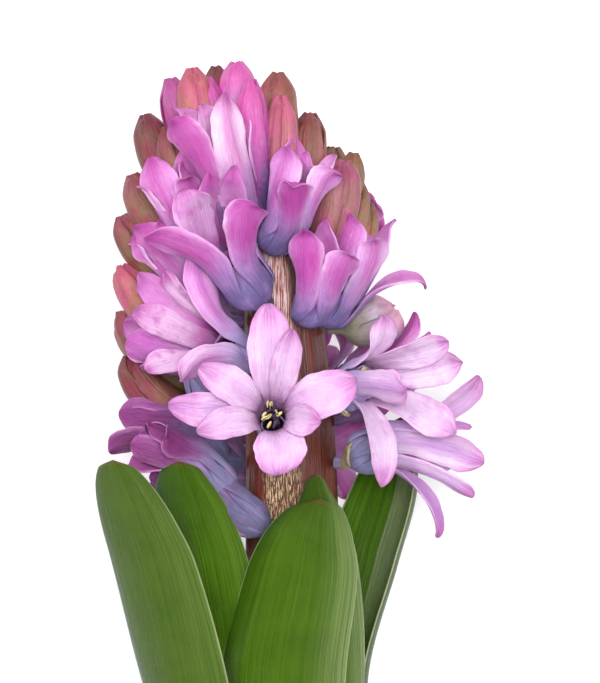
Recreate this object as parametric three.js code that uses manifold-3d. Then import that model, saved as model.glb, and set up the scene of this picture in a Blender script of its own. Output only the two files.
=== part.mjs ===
// A cut hyacinth that lies on its back on a level surface: one flower stalk, its open florets and buds,
// and six strap leaves joined round the stalk at the cut. Millimetres. +Y runs from the cut to the crown,
// +Z points up from the surface that the flower lies on, and z = 0 is that surface.
import * as THREE from "three";
import { mergeVertices } from "three/addons/utils/BufferGeometryUtils.js";
import Module from "manifold-3d";

const wasm = await Module();
wasm.setup();

// Driving sizes, in millimetres and degrees.
const clearance = 0.3; // left between neighbouring pieces
const cutHeight = -81.5; // where the stalk and the leaves were cut
const crownHeight = 74; // top of the stalk
const crownPoint = 0.8; // how far the stalk's end bulges past it
const ribCount = 5;
const ribDepth = 0.05; // share of the stalk's radius
const ribTwist = 0.02; // radians for each millimetre of height
const fineRibCount = 9;
const fineRibDepth = 0.02;
const sheathTop = -68; // the leaves hug the stalk up to here
const leafThickness = 1.7;
const leafCrowding = 1.35;
const tepalCount = 6;
const tepalThickness = 0.85; // along the middle of a tepal
const tepalRim = 0.68; // thickness at its edges
const tepalCup = 0.16; // share of its width by which its edges rise
const tepalRoot = 5; // how far below the mouth a tepal stands out from the tube
const pedicelRadius = 1.1;
const footReach = 1.05; // share of the stalk's radius, so that a foot clears its ribs
const throatDepth = 4.5;
const throatShoulder = 0.6; // share of the depth at which the throat narrows
const throatLip = 0.74; // shares of the mouth's radius
const throatFoot = 0.45;
const antherCount = 6;
const antherRadius = 0.4;
const antherLength = 1.9;
const antherRing = 0.95; // from the pistil's middle
const antherHeight = 1.5; // above its foot
const bractSeat = 0.9;
const bractBow = 1;
const backReach = 22.5; // from the stalk's middle to the mouth of a floret on the hidden side
const backRise = 6; // from its foot up to its mouth
const backTilt = 0.3; // how far it looks up the stalk
const backFlare = 3.5;
const backTepalLength = 10.5;
const backTepalWidth = 6.4;
const backBudRise = 18;
const backBudReach = 15;
const backBudRadius = 2.8;
const hiddenDrop = 20; // puts the hidden side last in the order

// Sides and steps of the swept shapes.
const stalkSides = 15;
const stalkRings = 13;
const tubeSides = 7;
const backTubeSides = 6;
const budSides = 6;
const tepalSteps = 4;
const backTepalSteps = 3;
const bractSteps = 3;
const leafSteps = 11;
const leafAcross = 4;
const smoothings = [0.22, 0.17, 0.12, 0.07, 0.02]; // how far a facet may move, tried in turn
const mergeDistance = 1e-4;

// The stalk's middle line and radius: height, x, z, radius.
const stalkLine = [
  [cutHeight, 0.5, 12.7, 8.1],
  [-55, 0.4, 16, 8.2],
  [-25, 0.2, 20, 8.2],
  [0, 0, 23.5, 8],
  [20, -0.4, 26, 7.5],
  [38, -1.4, 27.8, 6.6],
  [54, -2.8, 29.2, 4.8],
  [66, -4.4, 30.2, 3],
  [crownHeight, -5.8, 30.8, 1.5],
];

// Each leaf rises from a ring of sheaths at the cut. Its stations are height, x, z, width, turn and bend:
// turn is the way its outer face looks, from 0 for straight up round through +X, and bend is half the
// angle that its section curls through.
const outerSheath = 12.4;
const innerSheath = 10;
const backSheath = 9.8; // the back leaf has none inside it
const leaves = {
  leaf_front: { sheath: outerSheath, turn: 14, width: 16.5, stations: [
    [-55, 0.4, 31.4, 21, 5, 46],
    [-25, -1.2, 36, 24, 0, 44],
    [-7, 1.8, 39.2, 21.4, -2, 42],
    [-0.5, 2.8, 40.4, 17, -4, 38],
    [3.4, 3.8, 41, 11.6, -4, 34],
    [5.4, 4.6, 41.3, 7, -4, 30],
    [6.4, 5, 41.4, 3, -4, 28],
  ] },
  leaf_left_outer: { sheath: outerSheath, turn: -66, width: 16.5, stations: [
    [-55, -14.4, 22.6, 19.5, -52, 38],
    [-26, -20, 32.4, 20, -34, 34],
    [-5, -24.8, 37.2, 18, -28, 32],
    [2.6, -27.2, 38.8, 15.4, -26, 30],
    [8, -29, 39.8, 11.4, -26, 28],
    [11.4, -30, 40.3, 7, -26, 26],
    [13, -30.4, 40.5, 3, -26, 24],
  ] },
  leaf_right: { sheath: outerSheath, turn: 105, width: 16.5, stations: [
    [-55, 13.2, 13.4, 18.5, 110, 44],
    [-27, 11.6, 13, 20, 120, 48],
    [-6, 16, 12.8, 22, 130, 54],
    [6, 19.4, 13.4, 20, 130, 54],
    [14, 20.4, 14.6, 13.5, 126, 48],
    [18, 20.4, 15.4, 7.5, 122, 42],
    [20, 20.2, 15.8, 3.4, 120, 38],
  ] },
  leaf_back: { sheath: backSheath, turn: 196, width: 16.5, stations: [
    [-55, -2.6, 1.1, 18, 188, 34],
    [-32, -2.6, 0.3, 18, 180, 24],
    [-14, -2.4, 0.3, 15, 180, 22],
    [-6, -2, 0.9, 9, 180, 22],
    [-2, -1.8, 1.5, 3, 180, 20],
  ] },
  leaf_left_inner: { sheath: innerSheath, turn: -40, width: 13.5, stations: [
    [-55, -7.6, 26.2, 15, -34, 40],
    [-26, -11.4, 30.2, 16, -22, 34],
    [-5, -14.8, 34.4, 15.5, -14, 34],
    [4, -17.2, 36.4, 13.6, -10, 32],
    [9, -18.6, 37.6, 9.6, -10, 30],
    [11.8, -19, 38.1, 5.4, -10, 28],
    [12.8, -19.2, 38.3, 2.8, -10, 28],
  ] },
  leaf_front_inner: { sheath: innerSheath, turn: 62, width: 13.5, stations: [
    [-55, 8.2, 24.6, 15, 44, 40],
    [-25, 6.4, 31, 18, 24, 36],
    [-5, 4.8, 34.8, 15.5, 8, 32],
    [3, 5, 36.2, 9.5, 4, 28],
    [7.4, 4.7, 36.8, 5, 2, 26],
    [10.6, 4.4, 37, 2, 0, 24],
  ] },
};

// Open and half-open florets, the nearest to the top of the heap first. Each leaves the stalk at the
// height foot, its tube ends at mouth and looks along facing. A tepal is the place of its tip, its width,
// how far it arches forward on the way there, its twist in degrees and, where that isn't the side that the
// tip lies on, the side of the mouth that it grows from.
const florets = {
  floret_front: { colour: "lilac", foot: 13, mouth: [-3, 20.8, 48],
    facing: [0.02, 0.1, 1], flare: 2.5,
    tepals: [
      { tip: [-3.5, 40, 51], width: 7.6, arch: 3, twist: 4 },
      { tip: [0.3, 35.5, 53], width: 5, arch: 2, twist: 16 },
      { tip: [11.6, 26.6, 50], width: 8.2, arch: 3.5, twist: -8 },
      { tip: [5.2, 19.6, 54], width: 5.6, arch: 2.5, twist: 10 },
      { tip: [-1.6, 10.6, 53.5], width: 9, arch: 3.5, twist: 0 },
      { tip: [-15.5, 18, 53.5], width: 5.6, arch: 2.5, twist: 12 },
      { tip: [-20.4, 22.6, 50], width: 6.2, arch: 4, twist: -10 },
      { tip: [-15, 29, 51], width: 6.4, arch: 3.5, twist: 14 },
    ] },
  floret_centre: { colour: "blue", foot: 40, mouth: [-10.9, 50, 44.5],
    facing: [-0.3, 0.78, 0.5], flare: 4.5,
    grows: 108,
    tepals: [
      { tip: [-24.6, 51.4, 49], width: 6.6, arch: 0.5, twist: 30, from: [-0.5, -0.4, 0.8] },
      { tip: [-5.9, 56.9, 51.5], width: 8.2, arch: 2, twist: -55, from: [0.75, -0.2, 0.6] },
      { tip: [-17.8, 58.6, 48.5], width: 7.6, arch: 2.5, twist: -60, from: [-0.8, 0.2, -0.2] },
      { tip: [-10.2, 62, 51], width: 5.4, arch: 1, twist: 25, from: [0.6, 0.4, -0.8] },
      { tip: [-14, 61, 49.6], width: 5, arch: 1, twist: -10, from: [-0.1, 0.4, -0.9] },
      { tip: [-8, 58, 41.5], width: 6, arch: 1.5, twist: 0, from: [1, 0.2, -0.3] },
    ] },
  floret_top: { colour: "pink", foot: 49.4, mouth: [0.2, 56.6, 43],
    facing: [0.14, 0.86, 0.46], flare: 3.5,
    grows: 102,
    tepals: [
      { tip: [0, 66.4, 46], width: 6.6, arch: 0.5, twist: 45, from: [-0.85, 0, 0.5] },
      { tip: [0.7, 60.6, 52], width: 6, arch: 1.5, twist: 0, from: [0.05, 0, 1] },
      { tip: [8, 62.8, 47.5], width: 6.6, arch: 1.5, twist: -60, from: [0.85, 0, 0.5] },
      { tip: [2.6, 64.8, 46], width: 5.6, arch: 0.5, twist: 0, from: [0.3, 0, -1] },
      { tip: [7.8, 65.6, 42.5], width: 6, arch: 1, twist: 0, from: [1, 0, -0.4] },
      { tip: [1.8, 68.8, 42], width: 6.2, arch: 0.5, twist: 0, from: [-0.6, 0, -0.8] },
    ] },
  floret_middle: { colour: "pink", foot: 37, mouth: [4.9, 43.6, 42],
    facing: [0.12, 0.88, 0.42], flare: 3.3,
    tepals: [
      { tip: [2.2, 52.6, 46.5], width: 6.4, arch: 1, twist: 35, from: [-0.65, 0, 0.75] },
      { tip: [10.6, 48.6, 47], width: 6.4, arch: 1.5, twist: -45, from: [0.7, 0, 0.7] },
      { tip: [5.6, 54, 43.5], width: 5.4, arch: 0.8, twist: 0, from: [0.5, 0, -0.9] },
      { tip: [3.4, 52, 40], width: 6.4, arch: 1, twist: 0, from: [-0.7, 0, -0.7] },
    ] },
  floret_upper_left: { colour: "pink", foot: 52, mouth: [-11, 64, 44],
    facing: [-0.22, 0.9, 0.35], flare: 4.2,
    tepals: [
      { tip: [-20, 71.2, 49], width: 7.6, arch: 1, twist: 45, from: [-0.75, 0, 0.65] },
      { tip: [-10.6, 75.2, 47.5], width: 5.6, arch: 1, twist: 0, from: [0.4, 0, 0.9] },
      { tip: [-18.6, 74, 43.5], width: 6, arch: 1, twist: 10, from: [-0.8, 0, -0.5] },
      { tip: [-14.2, 74, 42.5], width: 5, arch: 1, twist: 0, from: [-0.2, 0, -1] },
      { tip: [-8.2, 72.4, 42], width: 6.4, arch: 1, twist: 0, from: [0.8, 0, -0.5] },
    ] },
  floret_left: { colour: "blue", foot: 29, mouth: [-13.6, 33.4, 41],
    facing: [-0.85, 0.25, 0.45], flare: 3.8,
    tepals: [
      { tip: [-16, 49, 41.5], width: 6, arch: 2, twist: -50, from: [0.3, 0.6, 0.85] },
      { tip: [-21.2, 45.4, 43.5], width: 4.2, arch: 2, twist: 30, from: [0, 1, -0.2] },
      { tip: [-26, 45.2, 41], width: 5.4, arch: 1.5, twist: 35, from: [0, 0.7, -0.8] },
      { tip: [-26.8, 38.6, 43], width: 5.4, arch: 1, twist: 10, from: [0, 0, -1] },
      { tip: [-24.6, 28.2, 44], width: 5.2, arch: 2, twist: -30, from: [0, -0.9, -0.5] },
      { tip: [-18, 26.2, 46], width: 5.8, arch: 1.5, twist: 10, from: [0.3, -0.4, 1] },
    ] },
  floret_right: { colour: "lilac", foot: 23, mouth: [14.5, 26.5, 38],
    facing: [0.76, 0, 0.65], flare: 3.6,
    bract: { tip: [9.8, 20.4, 37], width: 3.6 },
    tepals: [
      { tip: [15.8, 37.8, 42.5], width: 6, arch: 2.4, twist: -40, from: [-0.4, 1, 0.2] },
      { tip: [27.4, 33.2, 41], width: 6.4, arch: 2, twist: -30, from: [0.3, 1, -0.4] },
      { tip: [29.8, 30, 38], width: 6.8, arch: 1.5, twist: 0, from: [1, 0.3, -1] },
      { tip: [19.6, 24.6, 47], width: 6.6, arch: 2.4, twist: 20, from: [-0.6, -0.2, 0.8] },
      { tip: [28.6, 17.4, 40], width: 6.6, arch: 2, twist: 30, from: [0.8, -0.9, -0.6] },
      { tip: [15.8, 8.2, 41], width: 5.3, arch: 2.4, twist: 50, from: [-0.2, -1, 0.2] },
    ] },
  floret_low_front: { colour: "blue", foot: 0, mouth: [-15.2, 8.2, 31],
    facing: [-0.85, 0.45, -0.1], flare: 3.5,
    grows: 106,
    bract: { tip: [-1.4, 1.6, 34], width: 3.4 },
    tepals: [
      { tip: [-24.4, 10, 33], width: 5.6, arch: 1, twist: 0, from: [0, -0.3, 1] },
      { tip: [-22.8, 15.6, 31], width: 5.6, arch: 1, twist: 0, from: [0, 1, 0.4] },
      { tip: [-23.6, 12, 28.5], width: 5.6, arch: 1, twist: 0 },
    ] },
  floret_low_inner: { colour: "blue", foot: 6, mouth: [-19, 14, 35.5],
    facing: [-0.9, 0.35, 0.3], flare: 3.2,
    bract: { tip: [-11.4, 11.4, 31], width: 3.4 },
    tepals: [
      { tip: [-27.6, 15.6, 38], width: 5.6, arch: 1, twist: 0, from: [0, -0.4, 1] },
      { tip: [-24.6, 18.4, 41], width: 5.6, arch: 1.5, twist: 0, from: [0, 0.8, 0.6] },
      { tip: [-21, 17, 43], width: 5.6, arch: 2, twist: 10 },
      { tip: [-28.2, 11.6, 35], width: 6.4, arch: 1, twist: 0 },
    ] },
  floret_right_tall: { colour: "lilac", foot: 36.5, mouth: [10.6, 44.4, 37],
    facing: [0.45, 0.82, 0.3], flare: 3.7,
    grows: 50,
    tepals: [
      { tip: [11, 55.2, 40], width: 7.4, arch: 1, twist: 10, from: [-0.6, 0.2, 0.75] },
      { tip: [14.6, 51.4, 43.5], width: 6.8, arch: 1.5, twist: 0, from: [0.6, -0.2, 0.75] },
      { tip: [17.2, 54.8, 37], width: 6.4, arch: 1, twist: 10, from: [0.9, -0.3, -0.3] },
      { tip: [24.4, 43.8, 36], width: 4.8, arch: 1.6, twist: 24, from: [0.8, -0.5, 0.1] },
      { tip: [13, 53, 31], width: 6.6, arch: 1, twist: 0 },
    ] },
  floret_left_inner: { colour: "pink", foot: 45, mouth: [-17.5, 55, 38.5],
    facing: [-0.5, 0.8, 0.2], flare: 3.8,
    tepals: [
      { tip: [-24.4, 64.6, 41], width: 7, arch: 1, twist: 40, from: [-0.6, 0, 0.8] },
      { tip: [-18, 66, 41], width: 6.8, arch: 1, twist: 30, from: [0.7, 0, -0.6] },
      { tip: [-17.6, 62, 45.4], width: 5, arch: 1, twist: 0, from: [0.3, 0, 0.9] },
      { tip: [-22, 64, 36], width: 6, arch: 1, twist: 0 },
    ] },
  floret_low_right: { colour: "blue", foot: 12, mouth: [19, 15.4, 31],
    facing: [0.97, 0.02, 0.2], flare: 3.7,
    bract: { tip: [9.9, 14.8, 36], width: 4.4 },
    tepals: [
      { tip: [33, 27.4, 32], width: 5.6, arch: 3, twist: 0, from: [0, 0.7, -0.7] },
      { tip: [33.5, 11.8, 35], width: 6.4, arch: 1.5, twist: 0, from: [0, 0.3, 1] },
      { tip: [32, 6.2, 32.5], width: 5, arch: 1, twist: 0, from: [0, -0.8, 0.6] },
      { tip: [25.4, -0.8, 34], width: 4.4, arch: 4, twist: 30 },
      { tip: [29, 12, 25], width: 6, arch: 1, twist: 0 },
    ] },
  floret_left_behind: { colour: "mauve", foot: 37, mouth: [-20, 48, 33.5],
    facing: [-0.65, 0.75, 0.1], flare: 3.8,
    tepals: [
      { tip: [-26, 53.8, 36], width: 6.4, arch: 0.5, twist: 10 },
      { tip: [-26.8, 51.4, 34], width: 6, arch: 0.5, twist: 60, from: [-0.5, -0.4, 0.75] },
      { tip: [-24, 55.5, 31.5], width: 6, arch: 0.5, twist: 0 },
    ] },
  floret_left_under: { colour: "lilac", foot: 19, mouth: [-20.5, 32.2, 32.5],
    facing: [-0.9, 0.3, 0.2], flare: 3.8,
    tepals: [
      { tip: [-29, 37, 31], width: 6.2, arch: 1, twist: 14 },
      { tip: [-28.4, 33.6, 36], width: 6.4, arch: 1, twist: 10 },
      { tip: [-25.6, 28.6, 34], width: 6, arch: 1.5, twist: 10 },
      { tip: [-26.4, 43, 34], width: 6, arch: 1.5, twist: 0 },
    ] },
  floret_low_left: { colour: "violet", foot: 12, mouth: [-21.5, 18.6, 29],
    facing: [-0.97, 0.15, 0.1], flare: 3.4,
    tepals: [
      { tip: [-30, 21, 31.5], width: 6.4, arch: 1, twist: 0, from: [0, 0.3, 1] },
      { tip: [-31.8, 14.4, 30], width: 6.4, arch: 1, twist: 0, from: [0, -0.7, 0.7] },
      { tip: [-28.5, 22, 27], width: 5.6, arch: 1, twist: 0 },
      { tip: [-29, 17.5, 25], width: 5.6, arch: 1, twist: 0 },
    ] },
  floret_lowest: { colour: "mauve", foot: -5, mouth: [-17, 3, 25],
    facing: [-0.85, 0.5, 0.05], flare: 3.2,
    tepals: [
      { tip: [-25, 8, 27.5], width: 5.6, arch: 1, twist: 10 },
      { tip: [-22, 11, 26], width: 5.6, arch: 1, twist: 0 },
      { tip: [-25, 8, 23], width: 5.6, arch: 1, twist: 0 },
    ] },
  floret_right_under: { colour: "mauve", foot: 19.5, mouth: [16.4, 26.4, 25.5],
    facing: [0.93, 0.35, 0.05], flare: 3.4,
    tepals: [
      { tip: [22.4, 38.2, 29.5], width: 6.6, arch: 1.5, twist: 10 },
      { tip: [25, 34.6, 25.5], width: 6, arch: 1, twist: 0 },
      { tip: [25.5, 28.5, 24], width: 6, arch: 1, twist: 0 },
      { tip: [22, 24, 25], width: 6, arch: 1.5, twist: 0 },
    ] },
};

// Closed buds: colour, height of the foot, place of the tip and greatest radius.
const buds = [
  ["pink", 54, [-6.6, 78.2, 43.5], 2.5],
  ["salmon", 50, [-1.4, 75.6, 41], 2.9],
  ["brown", 62, [-2, 80, 35], 3.4],
  ["brown", 57, [3.6, 73, 34], 2.9],
  ["salmon", 48, [9.2, 64.6, 38], 3.4],
  ["brown", 51, [11.2, 66.2, 32], 2.3],
  ["brown", 54, [7.6, 67.4, 28], 2.5],
  ["olive", 46, [12, 61.2, 31], 2.3],
  ["olive", 43, [13.8, 57.8, 26], 2.3],
  ["mauve", 35.5, [18.2, 39.2, 29], 4.2],
  ["crimson", 55, [-25.2, 73, 31], 3.4],
  ["brown", 52, [-21.4, 70.6, 36], 2.9],
  ["violet", 62, [-20.8, 79.2, 32.5], 2.6],
  ["brown", 61, [-17, 80.6, 37], 3.2],
  ["pink", 60, [-14.6, 79, 36.5], 2.9],
  ["crimson", 65, [-12.6, 81.4, 31], 2.6],
  ["pink", 66, [-9.2, 81.8, 35], 3.2],
  ["olive", 48, [-27.6, 62.4, 32], 3.1],
  ["crimson", 42, [-29.6, 55.4, 28], 3],
  ["salmon", 33, [-29.8, 46.6, 28.5], 3.1],
  ["brown", 25, [-29.8, 38.8, 25], 3],
  ["crimson", 18, [-28.4, 31, 27], 3.6],
];

// Florets and buds on the hidden side: the height of a row, then the turn of each piece in it.
const backFloretRows = [
  [8, [238, 284]],
  [22, [262, 306]],
  [35, [236, 280]],
  [47, [258, 300]],
];
const backBudRow = [53, [232, 268, 304]];

// Colours and roughness of the pieces.
const materials = {
  stalk: [0x8c4a3c, 0.45],
  leaf: [0x5f8a2c, 0.5],
  stamens: [0x4a2a5c, 0.6],
  lilac: [0xdf9fd8, 0.5],
  pink: [0xd98fae, 0.5],
  blue: [0xa79bcb, 0.5],
  mauve: [0xb98fae, 0.5],
  salmon: [0xc07a68, 0.5],
  brown: [0xb07a5c, 0.5],
  olive: [0x97774c, 0.5],
  crimson: [0xa9485c, 0.5],
  violet: [0x9a6fb8, 0.5],
};

function vector(point) {
  return new THREE.Vector3(...point);
}

// A direction across the stalk: 0 degrees is +X, 90 degrees is straight up.
function acrossStalk(degrees) {
  const turn = THREE.MathUtils.degToRad(degrees);
  return new THREE.Vector3(Math.cos(turn), 0, Math.sin(turn));
}

// Smooth values between the rows of a table, whose first column is the height.
function between(table, height) {
  const last = table.length - 1;
  const inside = THREE.MathUtils.clamp(height, table[0][0], table[last][0]);
  let row = 0;
  while (row < last - 1 && inside > table[row + 1][0]) row += 1;
  const [before, start, end, after] = [row - 1, row, row + 1, row + 2]
    .map((index) => table[THREE.MathUtils.clamp(index, 0, last)]);
  const step = end[0] - start[0];
  const share = (inside - start[0]) / step;
  return start.map((value, column) => {
    const slopeIn = (end[column] - before[column]) / (end[0] - before[0]);
    const slopeOut = (after[column] - value) / (after[0] - start[0]);
    return (2 * share ** 3 - 3 * share ** 2 + 1) * value
      + (share ** 3 - 2 * share ** 2 + share) * step * slopeIn
      + (3 * share ** 2 - 2 * share ** 3) * end[column]
      + (share ** 3 - share ** 2) * step * slopeOut;
  });
}

// A closed three.js geometry as a solid that faces out: corners that meet are merged, and faces without
// area are left out.
function solidFrom(geometry) {
  geometry.deleteAttribute("normal");
  geometry.deleteAttribute("uv");
  const merged = mergeVertices(geometry, mergeDistance);
  const corners = [];
  for (let i = 0; i < merged.index.count; i += 3) {
    const triangle = [0, 1, 2].map((corner) => merged.index.getX(i + corner));
    if (new Set(triangle).size === 3) corners.push(...triangle);
  }
  const build = (triVerts) => new wasm.Manifold(new wasm.Mesh({
    numProp: 3,
    vertProperties: merged.attributes.position.array,
    triVerts: new Uint32Array(triVerts),
  }));
  const solid = build(corners);
  return solid.volume() > 0 ? solid : build(corners.reverse());
}

function solidOf(points, triangles) {
  const places = points.flatMap((point) => point.toArray());
  return solidFrom(new THREE.BufferGeometry()
    .setAttribute("position", new THREE.Float32BufferAttribute(places, 3))
    .setIndex(triangles.flat()));
}

// Rings of the same number of points joined in order, closed by a point at each end.
function ringSolid(rings, startPoint, endPoint) {
  const sides = rings[0].length;
  const points = [...rings.flat(), startPoint, endPoint];
  const triangles = [];
  rings.slice(1).forEach((_, ring) => {
    for (let side = 0; side < sides; side += 1) {
      const a = ring * sides + side;
      const b = ring * sides + (side + 1) % sides;
      triangles.push([a, b, b + sides], [a, b + sides, a + sides]);
    }
  });
  const lastRing = (rings.length - 1) * sides;
  for (let side = 0; side < sides; side += 1) {
    const next = (side + 1) % sides;
    triangles.push([points.length - 2, next, side]);
    triangles.push([points.length - 1, lastRing + side, lastRing + next]);
  }
  return solidOf(points, triangles);
}

// A blade from two grids of points, its inner and its outer face, split into triangles alike.
function bladeSolid(inner, outer) {
  const rows = inner.length;
  const across = inner[0].length;
  const points = [...inner.flat(), ...outer.flat()];
  const outerStart = rows * across;
  const triangles = [];
  for (let row = 0; row < rows - 1; row += 1) {
    for (let column = 0; column < across - 1; column += 1) {
      const a = row * across + column;
      const b = a + 1;
      const c = b + across;
      const d = a + across;
      triangles.push([a, b, c], [a, c, d]);
      triangles.push([outerStart + a, outerStart + c, outerStart + b]);
      triangles.push([outerStart + a, outerStart + d, outerStart + c]);
    }
  }
  const rim = [];
  for (let column = 0; column < across - 1; column += 1) rim.push(column);
  for (let row = 0; row < rows - 1; row += 1) rim.push(row * across + across - 1);
  for (let column = across - 1; column > 0; column -= 1) rim.push((rows - 1) * across + column);
  for (let row = rows - 1; row > 0; row -= 1) rim.push(row * across);
  rim.forEach((from, index) => {
    const to = rim[(index + 1) % rim.length];
    triangles.push([from, outerStart + from, outerStart + to], [from, outerStart + to, to]);
  });
  return solidOf(points, triangles);
}

// The stalk: a ribbed section that tapers to the crown. grow widens it, to clear a space round it.
function stalk(grow = 0) {
  const rings = [];
  for (let ring = 0; ring <= stalkRings; ring += 1) {
    const height = THREE.MathUtils.lerp(cutHeight, crownHeight, ring / stalkRings);
    const [, x, z, radius] = between(stalkLine, height);
    const points = [];
    for (let side = 0; side < stalkSides; side += 1) {
      const turn = (side / stalkSides) * Math.PI * 2;
      const ribs = 1 + ribDepth * Math.cos(ribCount * turn + height * ribTwist)
        + fineRibDepth * Math.cos(fineRibCount * turn);
      const reach = radius * ribs + grow;
      points.push(new THREE.Vector3(x + Math.cos(turn) * reach, height, z + Math.sin(turn) * reach));
    }
    rings.push(points);
  }
  const [, baseX, baseZ] = stalkLine[0];
  const [topHeight, topX, topZ] = stalkLine.at(-1);
  const base = new THREE.Vector3(baseX, cutHeight, baseZ);
  return ringSolid(rings, base, new THREE.Vector3(topX, topHeight + crownPoint, topZ));
}

// A strap leaf: a curled section carried through its stations, hooded at the tip. Its steps crowd
// towards the tip.
function leaf({ sheath, turn, width, stations }, grow = 0) {
  const sheathed = [cutHeight, sheathTop].map((height) => {
    const [, x, z] = between(stalkLine, height);
    const outward = acrossStalk(90 - turn);
    const bend = THREE.MathUtils.radToDeg(width / (2 * sheath));
    return [height, x + outward.x * sheath, z + outward.z * sheath, width, turn, bend];
  });
  const table = [...sheathed, ...stations];
  const tipHeight = table.at(-1)[0];
  const half = leafThickness / 2 + grow;
  const inner = [];
  const outer = [];
  for (let step = 0; step <= leafSteps; step += 1) {
    const share = 1 - (1 - step / leafSteps) ** leafCrowding;
    const height = THREE.MathUtils.lerp(cutHeight, tipHeight, share);
    const [, x, z, wide, turned, bent] = between(table, height);
    const outward = acrossStalk(90 - turned);
    const bend = THREE.MathUtils.degToRad(bent);
    const radius = wide / (2 * bend);
    const middle = new THREE.Vector3(x, height, z).addScaledVector(outward, -radius);
    const innerRow = [];
    const outerRow = [];
    for (let column = 0; column <= leafAcross; column += 1) {
      const aside = (column / leafAcross * 2 - 1) * (bend + grow / radius);
      const out = acrossStalk(90 - turned - THREE.MathUtils.radToDeg(aside));
      innerRow.push(middle.clone().addScaledVector(out, radius - half));
      outerRow.push(middle.clone().addScaledVector(out, radius + half));
    }
    inner.push(innerRow);
    outer.push(outerRow);
  }
  return bladeSolid(inner, outer);
}

// Where a piece leaves the stalk: on its surface at a height, on the side of the given point, or on the
// side that grows names in degrees.
function footOn(height, towards, grows) {
  const [, x, z, radius] = between(stalkLine, height);
  const away = grows === undefined
    ? new THREE.Vector3(towards.x - x, 0, towards.z - z).normalize()
    : acrossStalk(grows);
  const foot = new THREE.Vector3(x, height, z).addScaledVector(away, radius * footReach + clearance);
  return { foot, away };
}

// Rings round a curve, one for each [share of its length, radius].
function ringsAlong(curve, profile, sides, grow) {
  return profile.map(([share, radius]) => {
    const centre = curve.getPoint(share);
    const along = curve.getTangent(share);
    const across = new THREE.Vector3(0, 0, 1).cross(along);
    if (across.length() < 0.1) across.set(1, 0, 0);
    const other = along.clone().cross(across).normalize();
    across.copy(other.clone().cross(along)).normalize();
    return Array.from({ length: sides }, (_, side) => {
      const turn = (side / sides) * Math.PI * 2;
      return centre.clone()
        .addScaledVector(across, Math.cos(turn) * (radius + grow))
        .addScaledVector(other, Math.sin(turn) * (radius + grow));
    });
  });
}

// A floret's tube: a thin pedicel, a swollen foot, a waist, and a mouth with a throat sunk into it.
function floretTube(foot, away, mouth, facing, flare, sides, grow) {
  const length = mouth.distanceTo(foot);
  const curve = new THREE.CubicBezierCurve3(
    foot,
    foot.clone().addScaledVector(away, length * 0.32),
    mouth.clone().addScaledVector(facing, -length * 0.42),
    mouth,
  );
  const belly = flare * 0.92;
  const profile = [[0, pedicelRadius], [0.16, pedicelRadius], [0.3, belly * 0.78], [0.46, belly],
    [0.72, flare * 0.9], [1, belly]];
  const rings = ringsAlong(curve, profile, sides, grow);
  const edge = rings.at(-1);
  const narrowed = (share, centre) => edge.map((point) => (
    point.clone().sub(mouth).multiplyScalar(share).add(centre)));
  const start = foot.clone().addScaledVector(away, -grow);
  const lip = mouth.clone().addScaledVector(facing, grow);
  rings.push(narrowed(throatLip, lip));
  if (grow > 0) return ringSolid(rings, start, lip);
  const shoulder = mouth.clone().addScaledVector(facing, -throatDepth * throatShoulder);
  rings.push(narrowed(throatFoot, shoulder));
  return ringSolid(rings, start, mouth.clone().addScaledVector(facing, -throatDepth));
}

// A narrow cupped blade along a curve, fullest past its middle. side is its width direction at the root.
function blade(curve, side, width, twist, steps, grow) {
  const inner = [];
  const outer = [];
  for (let step = 0; step <= steps; step += 1) {
    const share = step / steps;
    const along = curve.getTangent(share);
    const centre = curve.getPoint(share);
    if (step === 0) centre.addScaledVector(along, -grow);
    if (step === steps) centre.addScaledVector(along, grow);
    const across = side.clone().addScaledVector(along, -side.dot(along)).normalize()
      .applyAxisAngle(along, THREE.MathUtils.degToRad(twist) * share);
    const inward = along.clone().cross(across).normalize();
    const fullness = (0.62 + 0.4 * Math.sin(Math.PI * 0.85 * share)) * (1 - 0.75 * share ** 6);
    const half = width / 2 * fullness + grow;
    const cup = width * tepalCup * (1 - 0.5 * share);
    const rib = tepalThickness / 2 + grow;
    const innerRow = [];
    const outerRow = [];
    for (const column of [-1, 0, 1]) {
      const place = centre.clone()
        .addScaledVector(across, column * half)
        .addScaledVector(inward, Math.abs(column) * cup);
      const halfThick = column === 0 ? rib : tepalRim / 2 + grow;
      innerRow.push(place.clone().addScaledVector(inward, halfThick));
      outerRow.push(place.clone().addScaledVector(inward, -halfThick));
    }
    inner.push(innerRow);
    outer.push(outerRow);
  }
  return bladeSolid(inner, outer);
}

// A tepal: from inside the tube's wall out past the mouth, then aside to its tip.
function tepal({ tip, width, arch, twist, from: side, steps = tepalSteps }, mouth, facing, flare, grow) {
  const end = vector(tip);
  const reach = end.clone().sub(mouth);
  const forward = reach.dot(facing);
  const aside = reach.addScaledVector(facing, -forward);
  const outward = side ? vector(side) : aside.clone();
  outward.addScaledVector(facing, -outward.dot(facing)).normalize();
  const onWall = (ahead, radius) => mouth.clone()
    .addScaledVector(facing, ahead)
    .addScaledVector(outward, radius);
  const curve = new THREE.CubicBezierCurve3(
    onWall(-tepalRoot, flare * 0.86),
    onWall(0.3 * Math.max(forward, 0) + 1, flare * 1.05),
    onWall(0.7 * forward + arch, 0.3 * flare).addScaledVector(aside, 0.7),
    end,
  );
  return blade(curve, facing.clone().cross(outward), width, twist, steps, grow);
}

// The small scale under a pedicel.
function bract({ tip, width }, foot, away, grow) {
  const end = vector(tip);
  const start = foot.clone().addScaledVector(away, bractSeat);
  const middle = start.clone().lerp(end, 0.5).addScaledVector(away, bractBow);
  const along = end.clone().sub(start).normalize();
  const curve = new THREE.QuadraticBezierCurve3(start, middle, end);
  return blade(curve, away.clone().cross(along).normalize(), width, 0, bractSteps, grow);
}

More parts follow.
